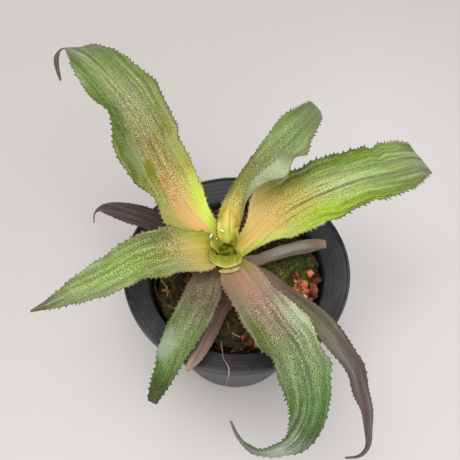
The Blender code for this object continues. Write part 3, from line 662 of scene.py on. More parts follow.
def leaf_paint(name, colours, scurf, stripes, under, shade, vivid=0.26, rim_depth=1.0):
    """Leaf finish: colour zones along the blade, long stripes, painted shade between the long ribs, grainy
    pale scurf, blotches and a painted highlight.

    The margins are brown, the green part is darkened by shade and made livelier by vivid, and the
    underside is paler. It reads two maps of the blade: shares along and across, and millimetres
    along and across.
    """
    paint = Paint(name)
    shares = paint.make("ShaderNodeUVMap", {"uv_map": "shares"})
    split = paint.make("ShaderNodeSeparateXYZ", None, {0: shares})
    along, across = split, split.out("Y")
    ruled = paint.make("ShaderNodeUVMap", {"uv_map": "ruled"})
    streaks = paint.noise(paint.stretch(ruled, (0.022, 0.5, 0.0)), 1.0, 3.0, 0.6)
    veins = paint.noise(paint.stretch(ruled, (0.03, 1.6, 0.0)), 1.0, 2.0, 0.5)
    clouds = paint.noise(paint.stretch(ruled, (0.12, 0.2, 0.0)), 1.0, 3.0, 0.55)
    patches = paint.noise(paint.stretch(ruled, (0.3, 0.35, 0.0)), 1.0, 2.0, 0.5)
    dots = paint.make(
        "ShaderNodeTexVoronoi", {"voronoi_dimensions": "2D"},
        {"Vector": paint.stretch(ruled, (1.15, 1.55, 0.0)), "Scale": 1.0, "Randomness": 0.75},
    )
    rib = paint.own("rib")
    zone = along + (clouds - 0.5) * 0.1 + (streaks - 0.5) * 0.1
    middle, left, right = (paint.ramp(zone, [(at, tint(*c)) for at, c in stops]) for stops in colours)
    sides = paint.mix(left, right, across.step(0.46, 0.54))
    out = (across - 0.5).math("ABSOLUTE") * 2.0
    colour = paint.mix(middle, sides, (out + (streaks - 0.5) * 0.7).step(0.15, 0.7))
    pale = paint.mix(colour, tint(*(min(c + 48, 255) for c in under)), 0.5)
    deep = paint.mix(colour, tint(*(c // 6 for c in under)), 0.68)
    leafy = along.step(0.16, 0.36)
    some = 0.3 + 0.7 * leafy
    colour = paint.mix(colour, pale, streaks.step(0.5, 0.68) * some * stripes)
    colour = paint.mix(colour, deep, (1.0 - streaks.step(0.32, 0.5)) * some * stripes)
    # Painted shade: the troughs between the long ribs are darkened.
    colour = paint.mix(colour, deep, (1.0 - rib.step(0.1, 0.5)) * some * 0.45)
    colour = paint.mix(colour, deep, (1.0 - veins.step(0.3, 0.46)) * some * 0.6)
    scale = (0.1 + 0.9 * along.step(0.1, 0.26)) * (1.0 - 0.25 * along.step(0.4, 0.7))
    centre = 1.0 - 0.3 * out.step(0.2, 0.8)
    cover = scale * centre * (0.2 + 1.1 * patches.step(0.35, 0.65)) * scurf
    flecks = (1.0 - dots.step(0.15, 0.42)) * cover
    pits = dots.step(0.4, 0.62) * scale * centre * scurf
    lift = {"Saturation": 0.72, "Value": 1.7, "Color": colour}
    bright = paint.make("ShaderNodeHueSaturation", None, lift)
    bright = paint.mix(bright, tint(*(min(c + 66, 255) for c in under)), 0.35)
    colour = paint.mix(colour, bright, flecks * 0.85)
    colour = paint.mix(colour, tint(46, 44, 16), pits * 0.75)
    # Blotches, and the painted highlight on leaf_front_left.
    for (run, place), size, strength, stain_and_highlight in BLOTCHES_AND_HIGHLIGHTS.get(name, ()):
        gap = paint.make(
            "ShaderNodeVectorMath", {"operation": "DISTANCE"},
            {0: paint.stretch(ruled, (0.55, 1.0, 0.0)), 1: (0.55 * run, place, 0.0)}, "Value",
        )
        near = 1.0 - (gap + (clouds - 0.5) * 6.0 + (streaks - 0.5) * 6.0).step(0.3 * size, size)
        colour = paint.mix(colour, tint(*stain_and_highlight), near * strength)
    rim = out.step(0.95, 0.99)
    colour = paint.mix(colour, tint(86, 58, 42), rim * (0.45 + 0.4 * clouds) * rim_depth)
    grade = {"Saturation": 0.98 + leafy * vivid, "Value": 1.0 - leafy * shade, "Color": colour}
    colour = paint.make("ShaderNodeHueSaturation", None, grade)
    back = paint.mix(tint(*under), colour, 0.22 + 0.7 * along.step(0.74, 0.84))
    back = paint.mix(back, tint(228, 232, 214), flecks * 0.5)
    colour = paint.mix(colour, back, paint.own("underside"))
    relief = veins * 0.5 + dots * -0.5 * scale
    gloss = 0.3 + 0.26 * scale + 0.1 * patches
    return paint.finish(colour, gloss, relief, 0.0003, 0.5, Specular_IOR_Level=0.45)


def blade(name, stations, tooth, material, slot):
    """A leaf. At each station each half is an arc as long as its width, bent by its curl.

    A lobe adds its reach times exp(-((place - its place) / its spread) squared) to one half's width.
    A point lies off the midrib by the sums of the cosines and of the sines of the bend so far, times
    the width. A creased half takes all its bend in a narrow band. Margins wave slowly, the surface
    swells in long shallow ribs with a channel along the midrib, and spines stand out along each
    margin: a narrow peak at every pitch, hooked towards the tip. The underside is the same surface
    moved down by the thickness.
    """
    seed = float(len(name)) + stations[1][0] * 1e3
    length = np.linalg.norm(np.diff(np.asarray(stations)[:, :3], axis=0), axis=1).sum()
    count = int(length / LEAF_STEP)
    table, length = blend(stations, count, 5.0 * MM)
    u = np.linspace(0.0, 1.0, count)[:, None]
    for margin, place, spread, reach in LOBES.get(name, ()):
        table[:, 3 + margin] += reach * MM * np.exp(-(((u[:, 0] - place) / spread) ** 2))
    table[:, 3:5] = np.maximum(table[:, 3:5], 0.35 * MM)
    along, side, up = frames(table[:, :3])
    half = np.concatenate([np.linspace(0.0, 0.9, 20), [0.93, 0.955, 0.98, 1.0]])
    v = np.concatenate([-half[::-1], half[1:]])[None]
    run = u * length
    left = v < 0
    width = np.where(left, table[:, 3:4], table[:, 4:5])
    bend = np.radians(np.where(left, table[:, 5:6], table[:, 6:7]))
    bend = np.where(np.abs(bend) < 1e-3, 1e-3, bend)
    ease = smoothstep(u, 0.0, 0.3) * np.clip(width / (8.0 * MM), 0.0, 1.0)
    wander = 1.0 + 0.075 * cloud(run / (6.0 * MM), np.where(left, 3.0, 7.0), 0.0, seed) * ease
    creased = FOLDS.get(name, 0.0) * smoothstep(u, 0.24, 0.4) * (1.0 - left)
    angle = bend * ((1.0 - creased) * np.abs(v) + creased * smoothstep(np.abs(v), 0.55, 0.68))
    midrib = v.shape[1] // 2
    gaps = np.diff(np.abs(v), axis=1)
    mean = 0.5 * (angle[:, 1:] + angle[:, :-1])
    outward, lift = (
        np.concatenate([0 * u, np.cumsum(gap_share, axis=1)], axis=1)
        for gap_share in (np.abs(gaps) * np.cos(mean), gaps * np.sin(mean))
    )
    outward = (outward - outward[:, midrib, None]) * width * wander
    lift = (lift - lift[:, midrib, None]) * width
    wave = np.where(left, np.sin(17.0 * u + 0.6), np.sin(19.0 * u + 2.1))
    crinkle = cloud(run / (5.0 * MM), np.where(left, 1.0, 5.0), 0.0, seed + 2.0)
    frill = cloud(run / (11.0 * MM), np.where(left, 4.0, 8.0), 0.0, seed + 3.0)
    lift = lift + (0.7 * MM * wave + 0.6 * MM * crinkle + 1.3 * MM * frill) * np.abs(v) ** 2.5 * ease
    ribs = cloud(v * width / (1.7 * MM) + seed, run / (45.0 * MM), 0.0, seed + 4.0)
    lift = lift + 0.2 * MM * ribs * smoothstep(u, 0.05, 0.3) * (1.0 - v**8)
    lift = lift - 0.45 * MM * np.exp(-((v * width / (1.3 * MM)) ** 2)) * ease
    drift = cloud(run / (7.0 * MM), np.where(left, 2.0, 9.0), 0.0, seed + 6.0)
    beat = run / TOOTH_PITCH + 0.6 * drift
    peak = np.clip(1.0 - np.abs(np.modf(beat + 50.0)[0] - 0.5) / 0.27, 0.0, 1.0) ** 1.4
    size = 0.55 + 0.9 * chance(np.floor(beat), np.where(left, 11.0, 13.0), 0.0, seed)
    reach = 1.05 * MM * tooth * peak * size * smoothstep(u, 0.02, 0.1)
    reach = reach * smoothstep(width, 1.2 * MM, 4.0 * MM) * smoothstep(np.abs(v), 0.93, 1.0)
    cosine, sine = np.cos(angle), np.sign(v) * np.sin(angle)
    tangent = cosine[..., None] * side[:, None] + sine[..., None] * up[:, None]
    normal = cosine[..., None] * up[:, None] - sine[..., None] * side[:, None]
    middle = table[:, None, :3] + outward[..., None] * side[:, None] + lift[..., None] * up[:, None]
    middle = middle + (reach * np.sign(v))[..., None] * tangent + 0.55 * reach[..., None] * along[:, None]
    run_on = RUN_ON.get(name, 0.0) * MM * np.abs(v) ** 0.35 * left * smoothstep(u, 0.84, 1.0)
    middle = middle + run_on[..., None] * along[:, None]
    thick = 0.5 * BLADE * (1.0 - 0.62 * np.abs(v) ** 1.5) * (1.0 - 0.45 * u)
    points = np.stack([middle + thick[..., None] * normal, middle - thick[..., None] * normal])
    index = np.arange(points[..., 0].size).reshape(points.shape[:3])
    top, low = index
    faces = [
        strip_faces(top),
        strip_faces(low)[:, ::-1],
        strip_faces(np.stack([low[:, 0], top[:, 0]], 1)),
        strip_faces(np.stack([top[:, -1], low[:, -1]], 1)),
        strip_faces(np.stack([low[0], top[0]])),
        strip_faces(np.stack([top[-1], low[-1]])),
    ]
    both = (2, *middle.shape[:2])
    shares = np.stack([np.broadcast_to(u, both), np.broadcast_to(0.5 + 0.5 * v, both)], -1)
    ruled = np.stack([np.broadcast_to(run / MM, both), np.broadcast_to(v * width / MM, both)], -1)
    ruled = ruled + np.array([0.0, 40.0 + 3.7 * (seed % 7.0)])
    marks = {
        "underside": np.stack([np.zeros(middle.shape[:2]), np.ones(middle.shape[:2])]),
        "rib": np.broadcast_to(0.5 + 0.5 * ribs, both),
    }
    return piece(name, points, faces, material, slot, (name,), marks, {"shares": shares, "ruled": ruled})


def base_station(heading, height, half_width, curl):
    """Where a leaf starts: just clear of the stem on its own heading."""
    turn = np.radians(heading)
    taper = 1.0 - 0.4 * smoothstep((height - STEM_TOP + 3.0 * MM) / (3.0 * MM))
    place = CROWN + (STEM_RADIUS * taper + GAP + 0.65 * MM) * np.array([np.cos(turn), np.sin(turn)])
    return (*place, height, half_width, half_width, curl, curl)


def grow_leaves():
    """Every whole leaf from its table, then the short heart leaves."""
    units = np.array([MM, MM, MM, MM, MM, 1.0, 1.0])
    rim = np.array([0.0, 0.0, POT_HEIGHT, 0.0, 0.0, 0.0, 0.0])
    for name, (level, heading, tooth, rows) in LEAVES.items():
        first = rows[0]
        height = POT_HEIGHT + TOP_LEVEL - LEVEL_PITCH * level
        start = base_station(heading, height, min(first[3], 4.5) * MM, 0.5 * first[5])
        stations = [start] + [np.array(row) * units + rim for row in rows]
        material = leaf_paint(name, COLOURS[name], *SCURF[name])
        blade(name, stations, tooth, material, "old_leaf" if name in OLD_LEAVES else "green_leaf")
    for name, (heading, rows) in HEART_LEAVES.items():
        turn = np.radians(heading)
        way = np.array([np.cos(turn), np.sin(turn)])
        stations = [base_station(heading, STEM_TOP + GAP, 2.0 * MM, 40.0)]
        for reach, height, width, curl in rows:
            place = CROWN + reach * MM * way
            stations.append((*place, POT_HEIGHT + height * MM, width * MM, width * MM, curl, curl))
        material = leaf_paint(name, HEART_COLOURS[name], 0.05, 0.2, (150, 155, 60), 0.0, 0.0, 0.1)
        blade(name, stations, 0.5, material, "heart_leaf")


# ---------------------------------------------------------------- pot

def plastic_paint():
    """Dull black moulded plastic: fine turned lines, dust, scuffs, painted light on the outer body, painted
    shade deeper inside.
    """
    paint = Paint("black_plastic")
    place = paint.place()
    split = paint.make("ShaderNodeSeparateXYZ", None, {0: place})
    height = split.out("Z")
    dust = paint.noise(place, 45.0, 4.0, 0.6)
    scuffs = paint.noise(paint.stretch(place, (1.0, 1.0, 3.0)), 160.0, 3.0, 0.7, 1.5)
    specks = paint.noise(place, 900.0, 1.0, 0.5)
    level = paint.noise(paint.stretch(place, (0.05, 0.05, 1.0)), 900.0, 2.0, 0.6)
    colour = paint.mix(tint(46, 45, 48), tint(66, 66, 70), dust.step(0.35, 0.7))
    inside = paint.own("inside")
    # Painted light: the outer body below the throat is painted paler, as if lit, varied by the dust.
    below = 1.0 - height.step(THROAT_HEIGHT - 6.0 * MM, THROAT_HEIGHT + 4.0 * MM)
    body = below * (1.0 - inside)
    colour = paint.mix(colour, tint(122, 120, 119), body * (0.35 + 0.3 * dust))
    colour = paint.mix(colour, tint(118, 118, 122), scuffs.step(0.62, 0.8) * 0.4)
    colour = paint.mix(colour, tint(150, 148, 145), specks.step(0.74, 0.8) * 0.5)
    # Painted shade: the inside of the pot darkens from the throat downwards.
    inside_shade = 1.0 - height.step(THROAT_HEIGHT - 22.0 * MM, THROAT_HEIGHT + 1.5 * MM)
    colour = paint.mix(colour, tint(22, 20, 18), inside_shade * inside * 0.85)
    gloss = 0.42 + 0.18 * dust + 0.1 * scuffs
    relief = level * 0.6 + specks * 0.4
    return paint.finish(colour, gloss, relief, 0.00012, 0.35, Specular_IOR_Level=0.4)


def inner_wall(height):
    """Radius of the inside of the pot below the throat."""
    share = (height - FLOOR) / (THROAT_HEIGHT - FLOOR)
    return BASE_RADIUS - WALL + (THROAT_RADIUS - BASE_RADIUS + WALL) * share


def rounded(corners, radius, steps=5):
    """A polyline whose inner corners are short parabolas that start and end radius away."""
    corners = np.asarray(corners, float)
    path = [corners[:1]]
    t = np.linspace(0.0, 1.0, steps)[:, None]
    for before, corner, after in zip(corners, corners[1:], corners[2:]):
        size_in, size_out = np.linalg.norm(before - corner), np.linalg.norm(after - corner)
        start = corner + (before - corner) * min(radius / size_in, 0.45)
        end = corner + (after - corner) * min(radius / size_out, 0.45)
        path.append((1 - t) ** 2 * start + 2 * t * (1 - t) * corner + t**2 * end)
    return np.concatenate(path + [corners[-1:]])


def make_pot():
    """A turned wall: its profile goes from the underside, up the outside, over the lip and down.

    Low rings stand out on the body, a groove runs inside the bead of the lip, and slots are left
    open in the floor.
    """
    steps, slot_steps, collar_rings, inner_rings = 180, 9, 26, 40
    bead_in = RIM_RADIUS - BEAD
    slope = (COLLAR_DROP - 0.8 * MM) / (COLLAR_WIDTH - BEAD)
    body_out = THROAT_RADIUS + WALL
    drop = WALL * np.hypot(1.0, slope)
    top = THROAT_HEIGHT + WALL * slope - drop
    rise = np.linspace(0.03, 0.97, 150)
    wall = BASE_RADIUS + (body_out - BASE_RADIUS) * rise
    z = 0.8 * MM + (top - 0.8 * MM) * rise
    rings = np.modf(z / (8.2 * MM) + 0.35)[0]
    ridge = np.exp(-(((rings - 0.5) / 0.075) ** 2))
    wall = wall + 0.35 * MM * ridge * smoothstep(z, 3.0 * MM, 8.0 * MM)
    lip = rounded([
        (body_out, top), (bead_in, POT_HEIGHT - 0.8 * MM - drop), (bead_in, POT_HEIGHT - SKIRT),
        (RIM_RADIUS, POT_HEIGHT - SKIRT), (RIM_RADIUS, POT_HEIGHT), (bead_in + 0.1 * MM, POT_HEIGHT),
        (bead_in - 0.1 * MM, POT_HEIGHT - 1.3 * MM), (bead_in - 0.9 * MM, POT_HEIGHT - 1.3 * MM),
    ], 0.35 * MM)
    reach = np.linspace(bead_in - 1.3 * MM, THROAT_RADIUS + 0.6 * MM, collar_rings)
    collar = np.stack([reach, THROAT_HEIGHT + (reach - THROAT_RADIUS) * slope], 1)
    collar[:, 1] += 0.06 * MM * np.sin(reach / (0.33 * MM))
    down = np.linspace(THROAT_HEIGHT - 0.8 * MM, FLOOR + 0.6 * MM, inner_rings)
    profile = np.concatenate([
        [(0.5 * DRAIN_IN, 0.0), (DRAIN_IN, 0.0), (DRAIN_OUT, 0.0), (BASE_RADIUS - 0.9 * MM, 0.0)],
        [(BASE_RADIUS - 0.3 * MM, 0.15 * MM), (BASE_RADIUS, 0.8 * MM)],
        np.stack([wall, z], 1),
        lip,
        collar,
        np.stack([inner_wall(down), down], 1),
        [(r, FLOOR) for r in (inner_wall(FLOOR) - 0.6 * MM, DRAIN_OUT, DRAIN_IN, 0.5 * DRAIN_IN)],
    ])
    turn = np.arange(steps) * 2.0 * np.pi / steps
    r = profile[:, :1] * np.ones((1, steps))
    rings = np.stack([r * np.cos(turn), r * np.sin(turn), profile[:, 1:] * np.ones((1, steps))], -1)
    under, above = 1, len(profile) - 3
    pitch = steps // DRAIN_SLOTS
    cells = [slot * pitch + step for slot in range(DRAIN_SLOTS) for step in range(slot_steps)]
    index = 1 + np.arange(rings[..., 0].size).reshape(rings.shape[:2])
    near, far, deep, high = index[under], index[under + 1], index[above + 1], index[above]
    walls = [(near[i], near[i + 1], deep[i + 1], deep[i]) for i in cells]
    walls += [(far[i + 1], far[i], high[i], high[i + 1]) for i in cells]
    for slot in range(DRAIN_SLOTS):
        a, b = slot * pitch, slot * pitch + slot_steps
        walls += [(far[a], near[a], deep[a], high[a]), (near[b], far[b], high[b], deep[b])]
    inside = np.zeros(len(profile))
    floor_rings = 4
    inside[len(profile) - floor_rings - inner_rings - collar_rings :] = 1.0
    marks = np.concatenate([[0.0], np.repeat(inside, steps), [1.0]])
    turned_piece(
        "pot", rings, [(0, 0, 0), (0, 0, FLOOR)], plastic_paint(), "black_plastic",
        [(band, i) for band in (under, above) for i in cells],
        walls=np.array(walls), stands_for=("pot",), marks={"inside": marks}, sharp=50.0,
    )


# ---------------------------------------------------------------- growing medium

def lumps(x, y):
    """Uneven ground: three crossed waves."""
    return (
        np.sin(x / (3.1 * MM) + 0.8) * np.sin(y / (3.7 * MM))
        + 0.6 * np.sin((x + y) / (2.9 * MM) + 1.9)
        + 0.5 * np.sin((x - 0.6 * y) / (4.3 * MM))
    )


def ground(x, y):
    """Height of the top of the plug: a shallow mound with lumps, level around the stem."""
    share = np.hypot(x, y) / PLUG_RADIUS
    from_stem = np.hypot(x - CROWN[0], y - CROWN[1]) / STEM_RADIUS
    mound = 1.2 * MM * (1.0 - share**2)
    return PLUG_TOP + mound + LUMP * smoothstep(from_stem, 1.4, 2.8) * lumps(x, y)


def soil_paint():
    """Dark fibre and peat, darkened towards the front by painted shade, with moss film and straw-coloured
    strands.
    """
    paint = Paint("growing_medium")
    place = paint.place()
    coarse = paint.noise(place, 110.0, 5.0, 0.65)
    fine = paint.noise(place, 520.0, 3.0, 0.7)
    patch = paint.noise(place, 48.0, 3.0, 0.5)
    strands = paint.noise(paint.stretch(place, (1.0, 1.0, 0.18)), 420.0, 3.0, 0.6, 1.2)
    colour = paint.ramp(coarse + (fine - 0.5) * 0.6, [
        (0.2, tint(18, 15, 9)), (0.42, tint(42, 36, 20)), (0.58, tint(72, 60, 32)),
        (0.75, tint(112, 92, 52)), (0.9, tint(150, 122, 74)),
    ])
    colour = paint.mix(colour, tint(58, 66, 26), patch.step(0.48, 0.66) * fine.step(0.35, 0.6) * 0.55)
    colour = paint.mix(colour, tint(120, 96, 58), strands.step(0.62, 0.74) * 0.5)
    # Painted shade: darker towards the front of the plug.
    front_shade = 1.0 - paint.make("ShaderNodeSeparateXYZ", None, {0: place}, "Y").step(-36.0 * MM, -20.0 * MM)
    colour = paint.mix(colour, tint(26, 22, 18), front_shade * 0.6)
    relief = coarse * 0.6 + fine * 0.4 + strands * 0.3
    return paint.finish(colour, 0.72 + 0.25 * fine, relief, 0.0012, 0.9, Specular_IOR_Level=0.25)


def crumb_paint(name, stops, rough_low=0.7):
    """Bits whose colour comes from a number stored on each of them, with grain over it."""
    paint = Paint(name)
    grain = paint.noise(paint.place(), 900.0, 3.0, 0.6)
    shade = paint.own("shade") + (grain - 0.5) * 0.35
    colour = paint.ramp(shade, [(at, tint(*c)) for at, c in stops])
    return paint.finish(colour, rough_low + 0.2 * grain, grain, 0.0003, 0.5, Specular_IOR_Level=0.3)


def make_medium():
    """The root plug as rings from the stem's socket over the top, down its side and to the floor.

    Rings are centred on the crown at the socket and on the pot's axis at the edge. The height is
    the ground plus layered noise; the side is pushed in and out by noise in streaks.
    """
    steps = 240
    turn = np.arange(steps) * 2.0 * np.pi / steps
    cx, cy = np.cos(turn), np.sin(turn)
    socket = STEM_RADIUS + GAP
    ragged = 1.0 + 0.02 * np.sin(5.0 * turn + 1.0)
    ragged = ragged + 0.014 * np.sin(11.0 * turn) + 0.01 * np.sin(17.0 * turn)
    share = np.linspace(0.0, 0.985, 74)[:, None]
    reach = socket * (1.0 - share) + PLUG_RADIUS * ragged * share
    x = CROWN[0] * (1.0 - share) + reach * cx
    y = CROWN[1] * (1.0 - share) + reach * cy
    grit = rough(x / MM, y / MM, 0.0, 2.6, 5.0, 4)
    edge = smoothstep(share, 0.0, 0.12) * (1.0 - smoothstep(share, 0.9, 1.0))
    top = ground(x, y) + 0.55 * MM * grit * edge - 1.4 * MM * smoothstep(share, 0.93, 0.99)
    drop = np.linspace(1.2 * MM, 18.0 * MM, 30)[:, None]
    streak = rough(turn * 18.0, drop / (9.0 * MM), 0.0, 1.0, 8.0, 3)
    pits = rough(turn * 20.0, drop / (2.0 * MM), 0.0, 1.0, 9.0, 3)
    wall = PLUG_RADIUS * (ragged - 0.002 * drop / MM) + (0.9 * streak + 0.5 * pits - 0.4) * MM
    wall = np.minimum(wall, inner_wall(PLUG_TOP - drop) - 0.8 * MM)
    side = np.stack([wall * cx, wall * cy, PLUG_TOP - drop + 0 * wall], -1)
    socket_floor = PLUG_TOP - 10.0 * MM
    hole = np.stack([CROWN[0] + socket * cx, CROWN[1] + socket * cy, socket_floor + 0 * cx], -1)[None]
    foot = []
    for radius, height in (
        (inner_wall(FILL) - 1.0 * MM, FILL), (inner_wall(FILL) - GAP, FILL),
        (inner_wall(30.0 * MM) - GAP, 30.0 * MM), (inner_wall(FLOOR + GAP) - GAP, FLOOR + GAP),
    ):
        foot.append(np.stack([radius * cx, radius * cy, height + 0 * cx], -1))
    rings = np.concatenate([hole, np.stack([x, y, top], -1), side, np.array(foot)])[::-1]
    poles = [(0.0, 0.0, FLOOR + GAP), (CROWN[0], CROWN[1], socket_floor)]
    turned_piece("growing_medium", rings, poles, soil_paint(), "root_plug", stands_for=("growing_medium",))


def scatter_crumbs():
    """Crumbs lying on the plug, clear of the stem, with painted shade making them darker towards the front.
    """
    n = np.arange(620.0)
    way, share = 2.0 * np.pi * chance(n, 1.0), np.sqrt(0.06 + 0.9 * chance(n, 2.0))
    x, y = PLUG_RADIUS * 0.97 * share * np.cos(way), PLUG_RADIUS * 0.97 * share * np.sin(way)
    keep = np.hypot(x - CROWN[0], y - CROWN[1]) > STEM_RADIUS + 2.5 * MM
    n, x, y = n[keep], x[keep], y[keep]
    size = (0.35 + 1.15 * chance(n, 3.0) ** 2) * MM
    axes = (0.8 + 0.9 * chance(n, 4.0), 0.6 + 0.4 * chance(n, 5.0), 0.45 + 0.35 * chance(n, 6.0))
    shape, faces = bits(n, size, np.stack(axes, 1), 0.35, 7.0, chance(n, 8.0), 3, 6)
    points = shape + np.stack([x, y, ground(x, y) + 0.25 * MM], 1)[:, None]
    # Painted shade: crumbs towards the front are drawn darker.
    front = smoothstep(-y, 20.0 * MM, 34.0 * MM)
    marks = {"shade": np.repeat(chance(n, 9.0) * (1.0 - 0.45 * front), shape.shape[1])}
    peat = [
        (0.0, (20, 17, 12)), (0.45, (48, 40, 26)), (0.7, (84, 62, 36)), (0.88, (140, 92, 50)),
        (1.0, (176, 138, 84)),
    ]
    piece("crumbs", points, faces, crumb_paint("peat_crumbs", peat), "root_plug", marks=marks)


def lay_fibres():
    """Bowed fibres lying on the plug and strands hanging down its side, as one piece."""
    m = np.arange(230.0)
    step = np.linspace(-0.5, 0.5, 9)[None]
    way, share = 2.0 * np.pi * chance(m, 21.0), np.sqrt(0.08 + 0.8 * chance(m, 22.0))
    x0, y0 = PLUG_RADIUS * share * np.cos(way), PLUG_RADIUS * share * np.sin(way)
    heading = (2.0 * np.pi * chance(m, 23.0))[:, None]
    length = (4.0 + 10.0 * chance(m, 24.0))[:, None] * MM
    bow = (chance(m, 25.0) - 0.5)[:, None]
    a, b = length * step, length * bow * (step**2 - 0.1)
    x = x0[:, None] + a * np.cos(heading) - b * np.sin(heading)
    y = y0[:, None] + a * np.sin(heading) + b * np.cos(heading)
    far = np.hypot(x, y) / (0.97 * PLUG_RADIUS)
    x, y = x / np.maximum(far, 1.0), y / np.maximum(far, 1.0)
    off = np.hypot(x - CROWN[0], y - CROWN[1])
    push = np.maximum((STEM_RADIUS + 1.5 * MM) / (off + 1e-9), 1.0)
    x, y = CROWN[0] + (x - CROWN[0]) * push, CROWN[1] + (y - CROWN[1]) * push
    arch = (0.15 + 0.9 * chance(m, 26.0))[:, None] * MM * (1.0 - 4.0 * step**2)
    path = np.stack([x, y, ground(x, y) + 0.35 * MM + arch], -1)
    radius = (0.09 + 0.16 * chance(m, 27.0) ** 2)[:, None] * MM * (1.0 - 1.6 * step**2)
    points, faces, size = tubes(path, radius, 5)
    shade = np.repeat(chance(m, 28.0), size)

    q = np.arange(190.0)
    turn = 2.0 * np.pi * chance(q, 31.0)[:, None]
    fall = np.linspace(0.0, 1.0, 9)[None]
    depth = (0.5 + (3.0 + 13.0 * chance(q, 32.0))[:, None] * fall) * MM
    sway = turn + 0.12 * np.sin(fall * 5.0 + 9.0 * chance(q, 33.0)[:, None]) * fall
    reach = PLUG_RADIUS * 0.995 + 0.9 * MM * chance(q, 34.0)[:, None]
    reach = np.minimum(reach, inner_wall(PLUG_TOP - depth) - 0.7 * MM)
    path = np.stack([reach * np.cos(sway), reach * np.sin(sway), PLUG_TOP - depth], -1)
    radius = (0.1 + 0.18 * chance(q, 35.0))[:, None] * MM * (1.0 - 0.6 * fall)
    more, more_faces, more_size = tubes(path, radius, 5)
    faces = [np.concatenate([f, g + len(points)]) for f, g in zip(faces, more_faces)]
    points = np.concatenate([points, more])
    shade = np.concatenate([shade, np.repeat(0.8 * chance(q, 36.0), more_size)])
    straw = [
        (0.0, (40, 30, 18)), (0.4, (86, 62, 34)), (0.7, (140, 104, 58)), (0.9, (184, 150, 92)),
        (1.0, (205, 185, 140)),
    ]
    piece("fibres", points, faces, crumb_paint("fibre", straw, 0.55), "straw", marks={"shade": shade})


# Lumps lying on the plug: reach as a share of the plug radius, heading, half length, half width,
# height, turn. Lengths in millimetres.
LUMPS = {
    "moss_cushion": (0.66, 1, 11.5, 10.5, 3.2, 5),
    "bark_chip_1": (0.96, 344, 3.6, 2.4, 3.0, 75),
    "bark_chip_2": (0.84, 339, 3.0, 2.0, 2.4, 60),
    "bark_chip_3": (0.95, 332, 3.2, 2.2, 2.6, 100),
    "bark_chip_4": (0.85, 325, 3.0, 2.0, 2.2, 40),
    "bark_chip_5": (0.88, 290, 3.4, 2.2, 2.2, 25),
    "bark_chip_6": (0.89, 277, 3.0, 2.0, 2.0, 160),
}


def lump(name, number, steps, knobs, knob_size, material, slot):
    """A low knobbly dome lying on the plug, its underside following the ground."""
    share, heading, length, width, height, turn = LUMPS[name]
    way, spin = np.radians(heading), np.radians(turn)
    centre = share * PLUG_RADIUS * np.array([np.cos(way), np.sin(way)])
    angle = np.arange(steps) * 2.0 * np.pi / steps
    edge = 1.0 + 0.09 * np.sin(3.0 * angle + number) + 0.06 * np.sin(5.0 * angle + 2.0 * number)
    shell = np.linspace(0.06, 1.0, steps // 3)[:, None]
    a = length * MM * shell * edge * np.cos(angle)
    b = width * MM * shell * edge * np.sin(angle)
    x = centre[0] + a * np.cos(spin) - b * np.sin(spin)
    y = centre[1] + a * np.sin(spin) + b * np.cos(spin)
    seat = ground(x, y) + 0.15 * MM
    uneven = 1.0 + 0.12 * np.sin(2.0 * angle + 3.0 * shell + number)
    thick = height * MM * (1.0 - 0.75 * shell**4) * uneven
    grain = rough(x / MM, y / MM, number + 0.0, knob_size, number, 3)
    thick = np.maximum(thick + knobs * MM * grain * (1.0 - 0.5 * shell**6), 0.3 * MM)
    swell = 1.0 + 0.05 * grain * shell**3
    top_x, top_y = centre[0] + (x - centre[0]) * swell, centre[1] + (y - centre[1]) * swell
    upper = np.stack([top_x, top_y, seat + thick], -1)
    rings = np.concatenate([np.stack([x, y, seat], -1), upper[::-1]])
    low = ground(*centre) + 0.15 * MM
    poles = [(*centre, low), (*centre, float(upper[0, :, 2].mean()))]
    turned_piece(name, rings, poles, material, slot, stands_for=(name,))
    return upper


def moss_paint():
    """Soft green to olive moss with brown showing between."""
    paint = Paint("moss")
    place = paint.place()
    tufts = paint.noise(place, 700.0, 3.0, 0.7)
    patch = paint.noise(place, 190.0, 3.0, 0.6)
    colour = paint.ramp(tufts + (patch - 0.5) * 0.8, [
        (0.25, tint(28, 28, 12)), (0.45, tint(60, 64, 24)), (0.6, tint(90, 98, 38)),
        (0.8, tint(134, 140, 62)),
    ])
    return paint.finish(colour, 0.85 + 0.1 * tufts, tufts + patch, 0.001, 0.9, Specular_IOR_Level=0.2)


def bark_paint():
    """Orange-brown bark with dark cracks and pale worn faces."""
    paint = Paint("bark")
    place = paint.place()
    grain = paint.noise(paint.stretch(place, (1.0, 2.2, 1.5)), 480.0, 4.0, 0.65, 0.8)
    patch = paint.noise(place, 260.0, 3.0, 0.6)
    colour = paint.ramp(grain + (patch - 0.5) * 0.7, [
        (0.25, tint(62, 28, 14)), (0.42, tint(128, 66, 36)), (0.6, tint(178, 104, 64)),
        (0.8, tint(214, 150, 102)),
    ])
    return paint.finish(colour, 0.6 + 0.3 * grain, grain + patch * 0.5, 0.0008, 0.9, Specular_IOR_Level=0.3)


